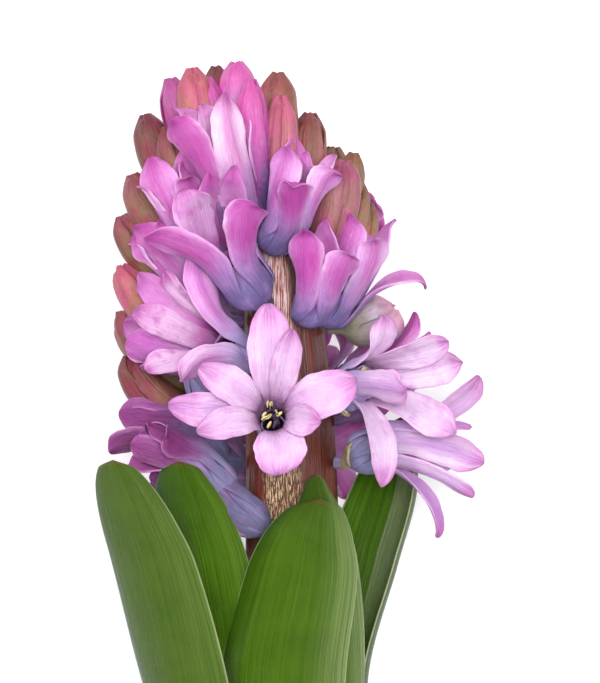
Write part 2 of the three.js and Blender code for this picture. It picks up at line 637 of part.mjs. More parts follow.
function floret(shape, grow = 0) {
  const mouth = vector(shape.mouth);
  const facing = vector(shape.facing).normalize();
  const { foot, away } = footOn(shape.foot, mouth, shape.grows);
  const { sides = tubeSides } = shape;
  const pieces = [floretTube(foot, away, mouth, facing, shape.flare, sides, grow)];
  shape.tepals.forEach((each) => pieces.push(tepal(each, mouth, facing, shape.flare, grow)));
  if (shape.bract) pieces.push(bract(shape.bract, foot, away, grow));
  return wasm.Manifold.union(pieces);
}

// A closed bud: a pedicel, a body that is fullest above its middle, and a blunt hooded tip.
function bud([, height, tipPlace, radius], grow = 0) {
  const tip = vector(tipPlace);
  const { foot, away } = footOn(height, tip);
  const outwards = tip.clone().sub(foot).dot(away);
  const curve = new THREE.QuadraticBezierCurve3(
    foot, foot.clone().addScaledVector(away, outwards * 0.75), tip);
  const profile = [[0, pedicelRadius], [0.18, pedicelRadius], [0.34, radius * 0.8], [0.58, radius],
    [0.8, radius * 0.95], [0.94, radius * 0.6]];
  return ringSolid(
    ringsAlong(curve, profile, budSides, grow),
    foot.clone().addScaledVector(away, -grow),
    tip.addScaledVector(curve.getTangent(1), grow),
  );
}

// The pistil with six anthers round it, as one cluster that stands in the throat of a floret.
function stamens({ mouth, facing: look }) {
  const facing = vector(look).normalize();
  const seat = vector(mouth).addScaledVector(facing, clearance - throatDepth * throatShoulder);
  const pistil = [[0, 0], [1, 0], [1.05, 0.9], [0.45, 1.2], [0.4, 2.6], [0, 3]];
  const shapes = [new THREE.LatheGeometry(pistil.map(([x, y]) => new THREE.Vector2(x, y)), 7)];
  for (let index = 0; index < antherCount; index += 1) {
    const turn = index / antherCount * Math.PI * 2;
    shapes.push(new THREE.SphereGeometry(antherRadius, 5, 3)
      .scale(1, antherLength / (2 * antherRadius), 1)
      .translate(Math.cos(turn) * antherRing, antherHeight, Math.sin(turn) * antherRing));
  }
  const upright = new THREE.Quaternion().setFromUnitVectors(new THREE.Vector3(0, 1, 0), facing);
  return wasm.Manifold.union(shapes.map((shape) => (
    solidFrom(shape.applyQuaternion(upright).translate(...seat.toArray())))));
}

// A floret on the hidden side, with six tepals spread evenly round its mouth.
function backFloret(foot, degrees, random) {
  const [, x, z] = between(stalkLine, foot + backRise);
  const away = acrossStalk(degrees);
  const facing = new THREE.Vector3(away.x, backTilt, away.z).normalize();
  const mouth = new THREE.Vector3(x, foot + backRise, z).addScaledVector(away, backReach);
  const sideways = new THREE.Vector3(0, 1, 0).cross(facing).normalize();
  const upwards = facing.clone().cross(sideways);
  const tepals = [];
  for (let index = 0; index < tepalCount; index += 1) {
    const spin = (index + 0.5 * random()) / tepalCount * Math.PI * 2;
    const length = backTepalLength * (0.85 + 0.25 * random());
    const tip = mouth.clone()
      .addScaledVector(sideways, Math.cos(spin) * length)
      .addScaledVector(upwards, Math.sin(spin) * length)
      .addScaledVector(facing, 1.5 * random());
    const twist = 20 * random() - 10;
    tepals.push({ tip: tip.toArray(), width: backTepalWidth, arch: 3, twist, steps: backTepalSteps });
  }
  return {
    colour: "blue",
    foot,
    mouth: mouth.toArray(),
    facing: facing.toArray(),
    flare: backFlare,
    sides: backTubeSides,
    tepals,
  };
}

function seeded(seed) {
  let state = seed;
  return () => {
    state = (state * 1664525 + 1013904223) % 4294967296;
    return state / 4294967296;
  };
}

// Every piece that grows from the stalk, in the order in which the pieces give way to each other: what
// lies on top comes first, and the hidden side comes last.
function growths() {
  const list = [];
  const add = (name, colour, height, build) => list.push({ name, colour, height, build });
  const addFloret = (name, shape, height) => (
    add(name, shape.colour, height, (grow) => floret(shape, grow)));
  const addBud = (name, shape, height) => add(name, shape[0], height, (grow) => bud(shape, grow));
  Object.entries(florets).forEach(([name, shape]) => addFloret(name, shape, shape.mouth[2]));
  buds.forEach((shape, index) => {
    addBud(`bud_${String(index + 1).padStart(2, "0")}`, shape, shape[2][2]);
  });
  const random = seeded(11);
  backFloretRows
    .flatMap(([height, turns]) => turns.map((turn) => backFloret(height, turn, random)))
    .forEach((shape, index) => addFloret(`floret_back_${index + 1}`, shape, shape.mouth[2] - hiddenDrop));
  const [rowHeight, rowTurns] = backBudRow;
  rowTurns.forEach((turn, index) => {
    const [, x, z] = between(stalkLine, rowHeight + backBudRise);
    const tip = new THREE.Vector3(x, rowHeight + backBudRise, z)
      .addScaledVector(acrossStalk(turn), backBudReach);
    addBud(`bud_back_${index + 1}`, ["mauve", rowHeight, tip.toArray(), backBudRadius], tip.z - hiddenDrop);
  });
  return list.sort((a, b) => b.height - a.height);
}

// True where two corners of a solid lie in one place, which would make its surface touch itself.
function cornersMeet(solid) {
  const { vertProperties, numProp, numVert } = solid.getMesh();
  const places = new Set();
  for (let i = 0; i < numVert; i += 1) {
    const place = vertProperties.slice(i * numProp, i * numProp + 3);
    places.add(Array.from(place, (value) => Math.round(value * 1000)).join());
  }
  return places.size < numVert;
}

// The largest body of a solid, with as few facets as leave its surface clear of itself.
function simplest(solid) {
  let largest;
  for (const smoothing of smoothings) {
    const bodies = solid.asOriginal().simplify(smoothing).decompose();
    largest = bodies.reduce((best, body) => (body.volume() > best.volume() ? body : best));
    if (!cornersMeet(largest)) break;
  }
  return largest;
}

function boxesMeet(a, b) {
  return [0, 1, 2].every((axis) => a.min[axis] < b.max[axis] && b.min[axis] < a.max[axis]);
}

// What is left of a solid once the space round each earlier one is taken off it, as its largest body.
function clearOf(solid, spaces) {
  const box = solid.boundingBox();
  const near = spaces.filter((space) => boxesMeet(box, space.boundingBox()));
  return simplest(near.length ? solid.subtract(wasm.Manifold.union(near)) : solid);
}

// The space under the surface, as a thick slab, which flattens what would reach into it.
function underSurface() {
  const [width, length, depth] = [200, 400, 40];
  return solidFrom(new THREE.BoxGeometry(width, length, depth).translate(0, 0, -depth / 2));
}

function meshOf(name, solid, finish) {
  const { vertProperties, triVerts, numProp } = solid.getMesh();
  const places = new Float32Array(vertProperties.length / numProp * 3);
  for (let i = 0; i < places.length / 3; i += 1) {
    places.set(vertProperties.subarray(i * numProp, i * numProp + 3), i * 3);
  }
  const geometry = new THREE.BufferGeometry()
    .setAttribute("position", new THREE.BufferAttribute(places, 3))
    .setIndex(new THREE.BufferAttribute(triVerts, 1));
  geometry.computeVertexNormals();
  const [color, roughness] = materials[finish];
  const mesh = new THREE.Mesh(geometry, new THREE.MeshStandardMaterial({ color, roughness, metalness: 0 }));
  mesh.name = name;
  return mesh;
}

const hyacinth = new THREE.Group();
const spaces = [underSurface()];

hyacinth.add(meshOf("stalk", stalk(), "stalk"));
spaces.push(stalk(clearance));

for (const [name, shape] of Object.entries(leaves)) {
  hyacinth.add(meshOf(name, clearOf(leaf(shape), spaces), "leaf"));
  spaces.push(leaf(shape, clearance));
}

for (const { name, colour, build } of growths()) {
  hyacinth.add(meshOf(name, clearOf(build(0), spaces), colour));
  spaces.push(build(clearance));
}

hyacinth.add(meshOf("stamens_front", stamens(florets.floret_front), "stamens"));

export default hyacinth;
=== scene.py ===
import math
import random

import bmesh
import bpy
from mathutils import Matrix, Vector


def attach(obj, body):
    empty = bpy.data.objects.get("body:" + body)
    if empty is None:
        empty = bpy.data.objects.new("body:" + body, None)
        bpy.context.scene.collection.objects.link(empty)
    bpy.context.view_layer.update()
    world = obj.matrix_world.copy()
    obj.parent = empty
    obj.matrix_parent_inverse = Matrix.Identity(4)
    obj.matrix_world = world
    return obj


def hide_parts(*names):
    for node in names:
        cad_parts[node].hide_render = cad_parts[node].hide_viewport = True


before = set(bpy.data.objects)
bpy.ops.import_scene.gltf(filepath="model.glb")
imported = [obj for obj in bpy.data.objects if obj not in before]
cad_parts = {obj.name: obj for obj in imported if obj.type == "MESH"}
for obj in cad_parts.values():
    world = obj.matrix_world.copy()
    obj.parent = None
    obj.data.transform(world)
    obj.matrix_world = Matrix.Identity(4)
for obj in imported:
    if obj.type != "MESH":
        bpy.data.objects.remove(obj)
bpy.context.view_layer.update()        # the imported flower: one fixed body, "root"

# The frame: +Y runs from the cut to the crown, +Z up, and z = 0 is the surface that the flower lies on.
# Sizes in the dictionaries are millimetres; mm turns them into Blender's metres.
mm = 0.001
print("frame loaded", len(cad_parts), "nodes")


def addObject(name, data):
    made = bpy.data.objects.new(name, data)
    bpy.context.scene.collection.objects.link(made)
    return made


# The camera looks straight down on the flower, with the crown at the top of the picture.
view = {"place": (1.75, 33.3, 629), "lens": 180.7, "sensor": 36, "near": 10}
cameraData = bpy.data.cameras.new("camera")
cameraData.lens = view["lens"]
cameraData.sensor_width = view["sensor"]
cameraData.clip_start = view["near"] * mm
camera = addObject("camera", cameraData)
camera.location = [value * mm for value in view["place"]]
bpy.context.scene.camera = camera


# Smooth values between the rows of a table whose first column is the distance along it.
def between(table, place):
    last = len(table) - 1
    place = min(max(place, table[0][0]), table[last][0])
    row = 0
    while row < last - 1 and place > table[row + 1][0]:
        row += 1
    before, start, end, after = (table[min(max(index, 0), last)] for index in range(row - 1, row + 3))
    step = end[0] - start[0]
    share = (place - start[0]) / step
    values = []
    for column, value in enumerate(start):
        slopeIn = (end[column] - before[column]) / (end[0] - before[0])
        slopeOut = (after[column] - value) / (after[0] - start[0])
        values.append((2 * share ** 3 - 3 * share ** 2 + 1) * value
                      + (share ** 3 - 2 * share ** 2 + share) * step * slopeIn
                      + (3 * share ** 2 - 2 * share ** 3) * end[column]
                      + (share ** 3 - share ** 2) * step * slopeOut)
    return values


def blend(start, end, share):
    return start + (end - start) * share


def eased(low, high, value):
    share = min(max((value - low) / (high - low), 0), 1)
    return share * share * (3 - 2 * share)


def cubic(points, share):
    a, b, c, d = points
    rest = 1 - share
    return a * rest ** 3 + b * 3 * rest * rest * share + c * 3 * rest * share * share + d * share ** 3


# The direction across the stalk, in degrees from +X towards +Z.
def acrossStalk(degrees):
    turn = math.radians(degrees)
    return Vector((math.cos(turn), 0, math.sin(turn)))


# A closed skin: a grid is wrapped round the shape by place(around, along), two shares that give a point in
# millimetres and three values for the finish: across, reach and inner. Blush is one value for it all.
finishValues = ("across", "reach", "inner", "blush")


def newSkin():
    bm = bmesh.new()
    for name in finishValues:
        bm.verts.layers.float.new(name)
    return bm


def wrapGrid(bm, columns, rows, place, blush=0.0):
    layers = [bm.verts.layers.float[name] for name in finishValues]
    made = bmesh.ops.create_grid(bm, x_segments=columns, y_segments=rows, size=0.5)
    for vert in made["verts"]:
        point, *values = place(vert.co.x + 0.5, vert.co.y + 0.5)
        vert.co = point * mm
        vert.co.z = max(vert.co.z, 0)
        for layer, value in zip(layers, (*values, blush)):
            vert[layer] = value
    bmesh.ops.remove_doubles(bm, verts=made["verts"], dist=1e-6)


def meshObject(bm, name, material):
    mesh = bpy.data.meshes.new(name)
    bm.to_mesh(mesh)
    bm.free()
    mesh.materials.append(material)
    return addObject(name, mesh)


# Ends a piece: faces outward, its map from its own values, and its place among the frame's nodes.
def finishPiece(bm, name, material, slotName, *nodes):
    bmesh.ops.recalc_face_normals(bm, faces=bm.faces)
    across, reach = (bm.verts.layers.float[value] for value in ("across", "reach"))
    pieceMap = bm.loops.layers.uv.new("pieceMap")
    for face in bm.faces:
        face.smooth = True
        for loop in face.loops:
            loop[pieceMap].uv = (0.5 + 0.5 * loop.vert[across], loop.vert[reach])
    piece = meshObject(bm, name, material)
    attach(piece, "root")
    if nodes:
        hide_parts(*nodes)


# Materials. Colours are written as screen values from 0 to 255.
def paint(red, green, blue):
    def channel(value):
        value /= 255
        return value / 12.92 if value <= 0.04045 else ((value + 0.055) / 1.055) ** 2.4
    return (channel(red), channel(green), channel(blue), 1)


def painted(tints):
    return {name: paint(*tint) for name, tint in tints.items()}


# A value in a node tree. A sum written with it adds the nodes that work the sum out.
class Wire:
    def __init__(self, tree, socket):
        self.tree, self.socket = tree, socket

    def __add__(self, other):
        return calc("ADD", self, other)

    def __sub__(self, other):
        return calc("SUBTRACT", self, other)

    def __rsub__(self, other):
        return calc("SUBTRACT", other, self)

    def __mul__(self, other):
        return calc("MULTIPLY", self, other)

    def __abs__(self):
        return calc("ABSOLUTE", self)


# Adds a node to its inputs' tree and gives one of its outputs.
def addNode(kind, inputs, output=0, **settings):
    tree = next(value.tree for value in inputs.values() if isinstance(value, Wire))
    node = tree.nodes.new(kind)
    for key, value in settings.items():
        setattr(node, key, value)
    for key, value in inputs.items():
        if isinstance(value, Wire):
            tree.links.new(value.socket, node.inputs[key])
        else:
            node.inputs[key].default_value = value
    return Wire(tree, node.outputs[output])


def calc(operation, *values, clamp=False):
    return addNode("ShaderNodeMath", dict(enumerate(values)), operation=operation, use_clamp=clamp)


# A product that is kept between 0 and 1.
def kept(first, second):
    return calc("MULTIPLY", first, second, clamp=True)


def ramp(value, *stops):
    colours = addNode("ShaderNodeValToRGB", {"Fac": value})
    elements = colours.socket.node.color_ramp.elements
    elements[0].position, elements[1].position = stops[0][0], stops[-1][0]
    for place, _ in stops[1:-1]:
        elements.new(place)
    for element, (_, colour) in zip(elements, stops):
        element.color = colour
    return colours


def mix(share, first, second, kind="MIX"):
    return addNode("ShaderNodeMix", {0: share, 6: first, 7: second}, 2, data_type="RGBA", blend_type=kind)


# Least to most as value runs from low to high.
def mapped(value, low, high, least=0.0, most=1.0, kind="LINEAR"):
    inputs = {"Value": value, "From Min": low, "From Max": high, "To Min": least, "To Max": most}
    return addNode("ShaderNodeMapRange", inputs, interpolation_type=kind)


def rise(value, low, high, most=1.0):
    return mapped(value, low, high, 0.0, most, "SMOOTHSTEP")


def scaled(value, least, most=1.0):
    return mapped(value, 0.0, 1.0, least, most)


def darken(colour, value, least):
    return mix(1.0, colour, ramp(scaled(value, least), (0.0, (0, 0, 0, 1)), (1.0, (1, 1, 1, 1))), "MULTIPLY")


def noise(place, scale, detail, roughness=0.5):
    return addNode("ShaderNodeTexNoise", {
        "Vector": place, "Scale": scale, "Detail": detail, "Roughness": roughness})


# A node group with one output, laid out by layOut(inputs...). Only the input Vector isn't a plain number.
def newGroup(name, layOut, *labels):
    group = bpy.data.node_groups.new(name, "ShaderNodeTree")
    for label in labels:
        kind = "NodeSocketVector" if label == "Vector" else "NodeSocketFloat"
        group.interface.new_socket(label, in_out="INPUT", socket_type=kind)
    group.interface.new_socket("Value", in_out="OUTPUT", socket_type="NodeSocketFloat")
    given = group.nodes.new("NodeGroupInput").outputs
    value = layOut(*(Wire(group, given[label]) for label in labels))
    group.links.new(value.socket, group.nodes.new("NodeGroupOutput").inputs["Value"])
    return lambda *values: addNode("ShaderNodeGroup", dict(zip(labels, values)), node_tree=group)


# Fine veins that run from the foot of a blade to its tip.
def layVeins(across, reach, seed, count, stretch):
    place = addNode("ShaderNodeCombineXYZ", {"X": across * count, "Y": reach * stretch, "Z": seed})
    return mapped(noise(place, 1.0, 3.0, 0.6), 0.32, 0.68)


# A tint that gathers at both edges of a blade, with a wavering border.
def layEdge(across, place, start, waver):
    side = abs(across) + (noise(place, 400.0, 2.0) - 0.5) * waver
    return rise(side, start, 1.0)


# Soft patches of lighter and darker colour.
def layMottle(place, scale, least, most):
    return mapped(noise(place, scale, 4.0, 0.55), 0.3, 0.7, least, most)


# The height of the veins and of the fine grain of a skin.
def layRelief(lines, place, grain, lineDepth, grainDepth):
    return lines * lineDepth + noise(place, grain, 2.0) * grainDepth


veinLines = newGroup("parallel veins", layVeins, "Across", "Reach", "Seed", "Count", "Stretch")
edgeTint = newGroup("edge tint", layEdge, "Across", "Vector", "Start", "Waver")
mottle = newGroup("mottle", layMottle, "Vector", "Scale", "Low", "High")
skinRelief = newGroup("skin relief", layRelief, "Lines", "Vector", "Grain", "Line Depth", "Grain Depth")


# A new material, and with it the values of the piece that are named, and the place on it.
def newMaterial(name, finish, *values):
    material = bpy.data.materials.new(name)
    material.use_nodes = True
    tree = material.node_tree
    sockets = tree.nodes["Principled BSDF"].inputs
    sockets["Subsurface Weight"].default_value = finish["soft"]
    sockets["Subsurface Radius"].default_value = finish["softTint"]
    sockets["Subsurface Scale"].default_value = 0.0007
    sockets["Specular IOR Level"].default_value = finish.get("specular", 0.5)
    wires = []
    for value in values:
        node = tree.nodes.new("ShaderNodeAttribute")
        node.attribute_name = value
        wires.append(Wire(tree, node.outputs["Fac"]))
    wires.append(Wire(tree, tree.nodes.new("ShaderNodeTexCoord").outputs["Object"]))
    return material, *wires


# Links a material's colour, its roughness, which follows gloss, and its relief, which follows lines and has
# the skin's grain on it where the finish gives one. Height is the depth of the relief in metres.
def finishMaterial(material, finish, colour, gloss, lines, place):
    roughness = scaled(gloss, *finish["roughness"])
    relief = skinRelief(lines, place, *finish["relief"]) if "relief" in finish else lines
    normal = addNode("ShaderNodeBump", {"Height": relief, "Distance": finish["height"]})
    sockets = material.node_tree.nodes["Principled BSDF"].inputs
    for name, wire in (("Base Color", colour), ("Roughness", roughness), ("Normal", normal)):
        material.node_tree.links.new(wire.socket, sockets[name])
    return material


# Petals: slate-blue tubes that turn lilac, magenta ribs outside, pale inner faces and deeper edges.
petalTints = {
    "lilac": {
        "foot": (150, 142, 188), "tube": (158, 158, 208), "outer": (232, 186, 234), "rib": (196, 138, 212),
        "inner": (236, 196, 236), "deep": (220, 162, 216), "edge": (222, 136, 214), "tip": (208, 104, 194),
        "pale": (248, 220, 250)},
    "bell": {
        "foot": (108, 94, 138), "tube": (132, 116, 176), "outer": (227, 156, 227), "rib": (186, 70, 164),
        "inner": (232, 164, 228), "deep": (202, 98, 186), "edge": (244, 200, 244), "tip": (202, 74, 180),
        "pale": (248, 214, 248)},
    "pink": {
        "foot": (110, 92, 130), "tube": (150, 112, 168), "outer": (224, 147, 218), "rib": (192, 76, 168),
        "inner": (236, 170, 230), "deep": (206, 108, 188), "edge": (244, 196, 240), "tip": (204, 76, 176),
        "pale": (248, 212, 244)},
    "orchid": {
        "foot": (136, 128, 170), "tube": (156, 156, 208), "outer": (234, 172, 228), "rib": (198, 104, 192),
        "inner": (236, 176, 226), "deep": (190, 88, 172), "edge": (216, 116, 202), "tip": (204, 88, 186),
        "pale": (246, 212, 244)},
    "dusk": {
        "foot": (84, 84, 116), "tube": (118, 114, 154), "outer": (164, 82, 156), "rib": (124, 46, 112),
        "inner": (176, 88, 160), "deep": (122, 44, 104), "edge": (206, 138, 202), "tip": (156, 56, 138),
        "pale": (206, 148, 206)},
    "slate": {
        "foot": (112, 112, 146), "tube": (154, 154, 198), "outer": (170, 96, 164), "rib": (134, 50, 120),
        "inner": (180, 90, 164), "deep": (124, 44, 106), "edge": (214, 150, 210), "tip": (164, 60, 144),
        "pale": (214, 170, 216)},
}
# Throat is the near-black colour of the inner face deep in the tube: painted shade.
petalFinish = {
    "soft": 0.12, "softTint": (1.0, 0.6, 0.8), "throat": (36, 18, 48), "outside": (0.14, 0.3, 0.6),
    "inside": (0.34, 0.44, 0.54), "free": (0.3, 0.62), "veins": (3.0, 22.0, 5.0), "streaks": (8.0, 5.0, 3.0),
    "patches": 330.0, "broad": 150.0, "grain": 2200.0, "waver": (0.03, 0.06, 0.05), "smoke": 0.5,
    "mist": 0.4, "warm": 0.75, "cool": 1.0, "deep": 0.7, "rib": 0.25, "ribFaces": (0.95, 0.22),
    "ribStreaks": 0.55, "edge": (0.6, 0.3), "edgePatches": (0.3, 0.7), "rim": (0.84, 0.98, 0.5),
    "rimPatches": (0.5, 1.1), "tip": (0.72, 0.98), "tipStreaks": 0.35, "veinShade": 0.94, "grainShade": 0.95,
    "ridges": 0.8, "roughness": (0.42, 0.58), "relief": (5000.0, 1.0, 0.35), "height": 0.00013}


def petalMaterial(name, tint):
    form, tints = petalFinish, painted(tint)
    material, across, reach, inner, blush, place = newMaterial(
        "petal " + name, form, "across", "reach", "inner", "blush")
    veins, streaks = veinLines(across, reach, *form["veins"]), veinLines(across, reach, *form["streaks"])
    patches = mottle(place, form["patches"], -1.0, 1.0)
    blush += mottle(place, form["broad"], -0.5, 0.5)
    patchy, streaky, veiny = form["waver"]
    reach += patches * patchy
    streaked = reach + (streaks - 0.5) * streaky + (veins - 0.5) * veiny
    free = rise(streaked, *form["free"])
    isInner = rise(inner, 0.3, 0.7)

    # the outer face runs from foot to lobe, and the inner one from the throat outwards; the near-black
    # throat deep in the tube is painted shade
    start, stop, full = form["outside"]
    outside = ramp(streaked, (0.0, tints["foot"]), (start, tints["tube"]), (stop, tints["tube"]),
                   (full, tints["outer"]), (1.0, tints["outer"]))
    start, stop, full = form["inside"]
    inside = ramp(reach, (start, paint(*form["throat"])), (stop, tints["deep"]), (full, tints["inner"]),
                  (1.0, tints["inner"]))
    colour = mix(isInner, outside, inside)

    # smoky and misty patches on the tube, then a warmer or a paler lobe
    colour = mix(kept(patches, form["smoke"]) * (1.0 - free), colour, tints["foot"])
    colour = mix(kept(patches, -form["mist"]) * (1.0 - free) * (1.0 - isInner), colour, tints["outer"])
    colour = mix(kept(blush, form["warm"]) * free, colour, tints["rib"])
    colour = mix(kept(blush, -form["cool"]) * free, colour, tints["pale"])
    colour = mix(kept(scaled(patches, 0.0, form["deep"]), free) * isInner, colour, tints["deep"])

    # the rib down the middle, the tinted edges, the thin pale rim, a pale margin with painted highlight
    # along it, and the tip
    rib = rise(1.0 - abs(across), form["rib"], 1.0) * free * scaled(isInner, *form["ribFaces"])
    colour = mix(rib * scaled(streaks, form["ribStreaks"]), colour, tints["rib"])
    edge = edgeTint(across, place, *form["edge"]) * free
    colour = mix(edge * scaled(patches, *form["edgePatches"]), colour, tints["edge"])
    # painted highlight: the pale rim brightens the lobe edges as if light caught them, over a real pale
    # margin
    rim = rise(abs(across), *form["rim"]) * free
    colour = mix(kept(rim, scaled(patches, *form["rimPatches"])), colour, tints["pale"])
    colour = mix(rise(reach, *form["tip"]) * scaled(streaks, form["tipStreaks"]), colour, tints["tip"])
    colour = darken(colour, veins, form["veinShade"])
    colour = darken(colour, mottle(place, form["grain"], 0.0, 1.0), form["grainShade"])
    return finishMaterial(material, form, colour, veins, veins + streaks * form["ridges"], place)


# Buds: fleshy skins from olive at the foot through brown or rose to a reddened tip, with a darker rib.
# Turn is where along the bud the stem's colour gives way, and turns holds the tints that have their own: on
# the salmon and pink buds the darker stem colour reaches further up, partly painted shade of the dark gaps
# beside them.
budTints = {
    "brown": {
        "stem": (100, 90, 50), "body": (136, 102, 64), "blush": (150, 66, 74), "rib": (88, 44, 40),
        "tip": (150, 62, 82)},
    "russet": {
        "stem": (108, 92, 60), "body": (158, 108, 84), "blush": (182, 96, 106), "rib": (96, 42, 44),
        "tip": (136, 62, 62)},
    "rose": {
        "stem": (120, 104, 66), "body": (184, 126, 96), "blush": (194, 84, 116), "rib": (142, 54, 72),
        "tip": (190, 78, 116)},
    "wine": {
        "stem": (100, 92, 64), "body": (166, 112, 102), "blush": (196, 98, 134), "rib": (120, 60, 70),
        "tip": (170, 76, 112)},
    # salmon and pink: darkened stem colours, partly painted shade of the gaps beside these buds
    "salmon": {
        "stem": (76, 74, 82), "body": (178, 108, 116), "blush": (208, 108, 154), "rib": (146, 58, 92),
        "tip": (192, 88, 118)},
    "tan": {
        "stem": (118, 106, 66), "body": (166, 130, 92), "blush": (178, 110, 92), "rib": (108, 70, 48),
        "tip": (126, 74, 58)},
    "crimson": {
        "stem": (98, 84, 52), "body": (130, 80, 56), "blush": (136, 44, 62), "rib": (76, 32, 36),
        "tip": (112, 32, 50)},
    "pink": {
        "stem": (80, 72, 122), "body": (204, 122, 192), "blush": (212, 96, 180), "rib": (176, 60, 146),
        "tip": (212, 80, 160)},
    "mauve": {
        "stem": (168, 164, 138), "body": (188, 172, 182), "blush": (206, 184, 200), "rib": (136, 114, 136),
        "tip": (228, 146, 182)},
    "violet": {
        "stem": (112, 96, 120), "body": (176, 98, 158), "blush": (196, 88, 152), "rib": (136, 60, 126),
        "tip": (184, 74, 144)},
}
budFinish = {
    "soft": 0.1, "softTint": (1.0, 0.4, 0.3), "turn": (0.26, 0.68),
    "turns": {"salmon": (0.4, 0.82), "pink": (0.44, 0.86)}, "veins": (9.0, 14.0, 4.0), "patches": 280.0,
    "blush": (0.3, 0.76), "spots": 1100.0, "spotting": 0.06, "grain": 1500.0, "ribReach": (0.25, 0.6),
    "tip": (0.72, 1.0, 0.85), "rib": (0.45, 1.0, 0.4), "seam": (0.72, 1.0, 0.6), "grainShade": 0.86,
    "veinShade": 0.9, "roughness": (0.36, 0.5), "relief": (3600.0, 0.8, 0.4), "height": 0.0001}


def budMaterial(name, tint):
    form, tints = budFinish, painted(tint)
    material, across, reach, place = newMaterial("bud " + name, form, "across", "reach")
    veins = veinLines(across, reach, *form["veins"])
    patches = mottle(place, form["patches"], 0.0, 1.0)
    reach += mottle(place, form["spots"], -form["spotting"], form["spotting"])
    body = mix(rise(patches, *form["blush"]), tints["body"], tints["blush"])
    # painted shade: on salmon and pink buds the dark stem colour reaches far up the bud
    colour = mix(rise(reach, *form["turns"].get(name, form["turn"])), tints["stem"], body)
    colour = mix(rise(reach, *form["tip"]), colour, tints["tip"])
    rib = rise(1.0 - abs(across), *form["rib"]) * rise(reach, *form["ribReach"])
    colour = mix(rib, colour, tints["rib"])
    colour = mix(rise(abs(across), *form["seam"]) * reach, colour, tints["rib"])
    colour = darken(colour, mottle(place, form["grain"], 0.0, 1.0), form["grainShade"])
    colour = darken(colour, veins, form["veinShade"])
    return finishMaterial(material, form, colour, veins, veins, place)


# Leaves: satin green with close parallel veins, a pale bloom towards one side, a thin pale edge, and a
# deeper, striped inner face. The folded leaf has a greyer band along one side of that face.
leafTints = {
    "plain": {"outer": (76, 108, 10), "outerDark": (41, 72, 1), "bloom": (138, 160, 92)},
    "pale": {"outer": (80, 106, 24), "outerDark": (46, 76, 4), "bloom": (96, 120, 52)},
    "deep": {"outer": (74, 110, 2), "outerDark": (32, 64, 0), "bloom": (98, 130, 32)},
    "folded": {"outer": (74, 110, 2), "outerDark": (32, 64, 0), "bloom": (128, 146, 100)},
}
leafColours = {
    "inner": (88, 134, 0), "innerDark": (38, 74, 0), "edge": (166, 178, 128), "tip": (120, 92, 52),
    "flesh": (186, 202, 136)}
leafFinish = {
    "soft": 0.05, "softTint": (0.4, 1.0, 0.2), "specular": 0.2, "veins": (1.0, 46.0, 2.0),
    "bands": (7.0, 9.0, 1.0), "patches": 90.0, "shades": (0.3, 0.25, 0.45), "stripes": (0.25, 0.75),
    "side": (0.5, 0.94, 0.7), "bloom": (0.25, 0.9, 0.75), "bloomVeins": 0.2, "fold": (0.06, 0.0),
    "foldReach": (0.52, 0.76), "foldVeins": 0.65, "edge": (0.95, 0.02), "edgeShare": 0.8,
    "tip": (0.985, 1.0, 0.7), "cut": (0.003, 0.0), "roughness": (0.2, 0.36), "relief": (2500.0, 1.0, 0.25),
    "height": 0.00014}


def leafMaterial(name, tint):
    form, tints = leafFinish, painted(tint | leafColours)
    material, across, reach, inner, place = newMaterial("leaf " + name, form, "across", "reach", "inner")
    veins, bands = veinLines(across, reach, *form["veins"]), veinLines(across, reach, *form["bands"])
    veiny, banded, patchy = form["shades"]
    patches = mottle(place, form["patches"], 0.0, 1.0)
    shade = calc("MULTIPLY_ADD", patches, patchy, veins * veiny + bands * banded, clamp=True)
    outside = mix(shade, tints["outerDark"], tints["outer"])
    # painted shade: the outer face darkens towards both long edges, where the curved blade turns away from
    # the light
    outside = mix(rise(abs(across), *form["side"]), outside, tints["outerDark"])
    bloom = rise(across, *form["bloom"]) * scaled(veins, form["bloomVeins"])
    outside = mix(bloom, outside, tints["bloom"])
    veiny, banded = form["stripes"]
    inside = mix(bands * banded + veins * veiny, tints["innerDark"], tints["inner"])
    if name == "folded":
        fold = rise(across, *form["fold"]) * scaled(veins, form["foldVeins"])
        fold *= rise(reach, *form["foldReach"])
        inside = mix(fold, inside, tints["bloom"])
    colour = mix(rise(inner, 0.3, 0.7), outside, inside)
    colour = mix(edgeTint(across, place, *form["edge"]) * form["edgeShare"], colour, tints["edge"])
    colour = mix(rise(reach, *form["tip"]), colour, tints["tip"])
    colour = mix(rise(reach, *form["cut"]), colour, tints["flesh"])
    return finishMaterial(material, form, colour, shade, veins, place)


# Stalk: dark red-brown ribs with olive streaks, and down its lit side a band of pale flecks on a lighter
# colour that brightens towards the top: pale fibres with painted highlight on them.
stalkColours = {
    "dark": (48, 13, 10), "middle": (84, 28, 21), "light": (112, 48, 36), "olive": (86, 56, 26),
    "glow": (180, 84, 54), "tan": (232, 196, 156), "fleck": (255, 226, 226), "flesh": (196, 206, 150)}
stalkFinish = {
    "soft": 0.04, "softTint": (1.0, 0.4, 0.2), "streaks": (2.0, 12.0, 5.0), "fine": (5.0, 48.0, 30.0),
    "shades": (0.35, 0.65), "stops": (0.1, 0.4, 0.7, 0.95), "bandStart": (-0.62, -0.42),
    "bandEnd": (0.34, 0.1), "bandShare": 0.7, "upper": (0.66, 0.76), "flecks": (6000.0, 2.0, 0.65),
    "fleckShape": (1.0, 0.035, 1.0), "fleck": (0.51, 0.58), "fleckShare": (0.9, 0.04),
    "roughness": (0.3, 0.5), "relief": (1800.0, 1.0, 0.5), "height": 0.0002}


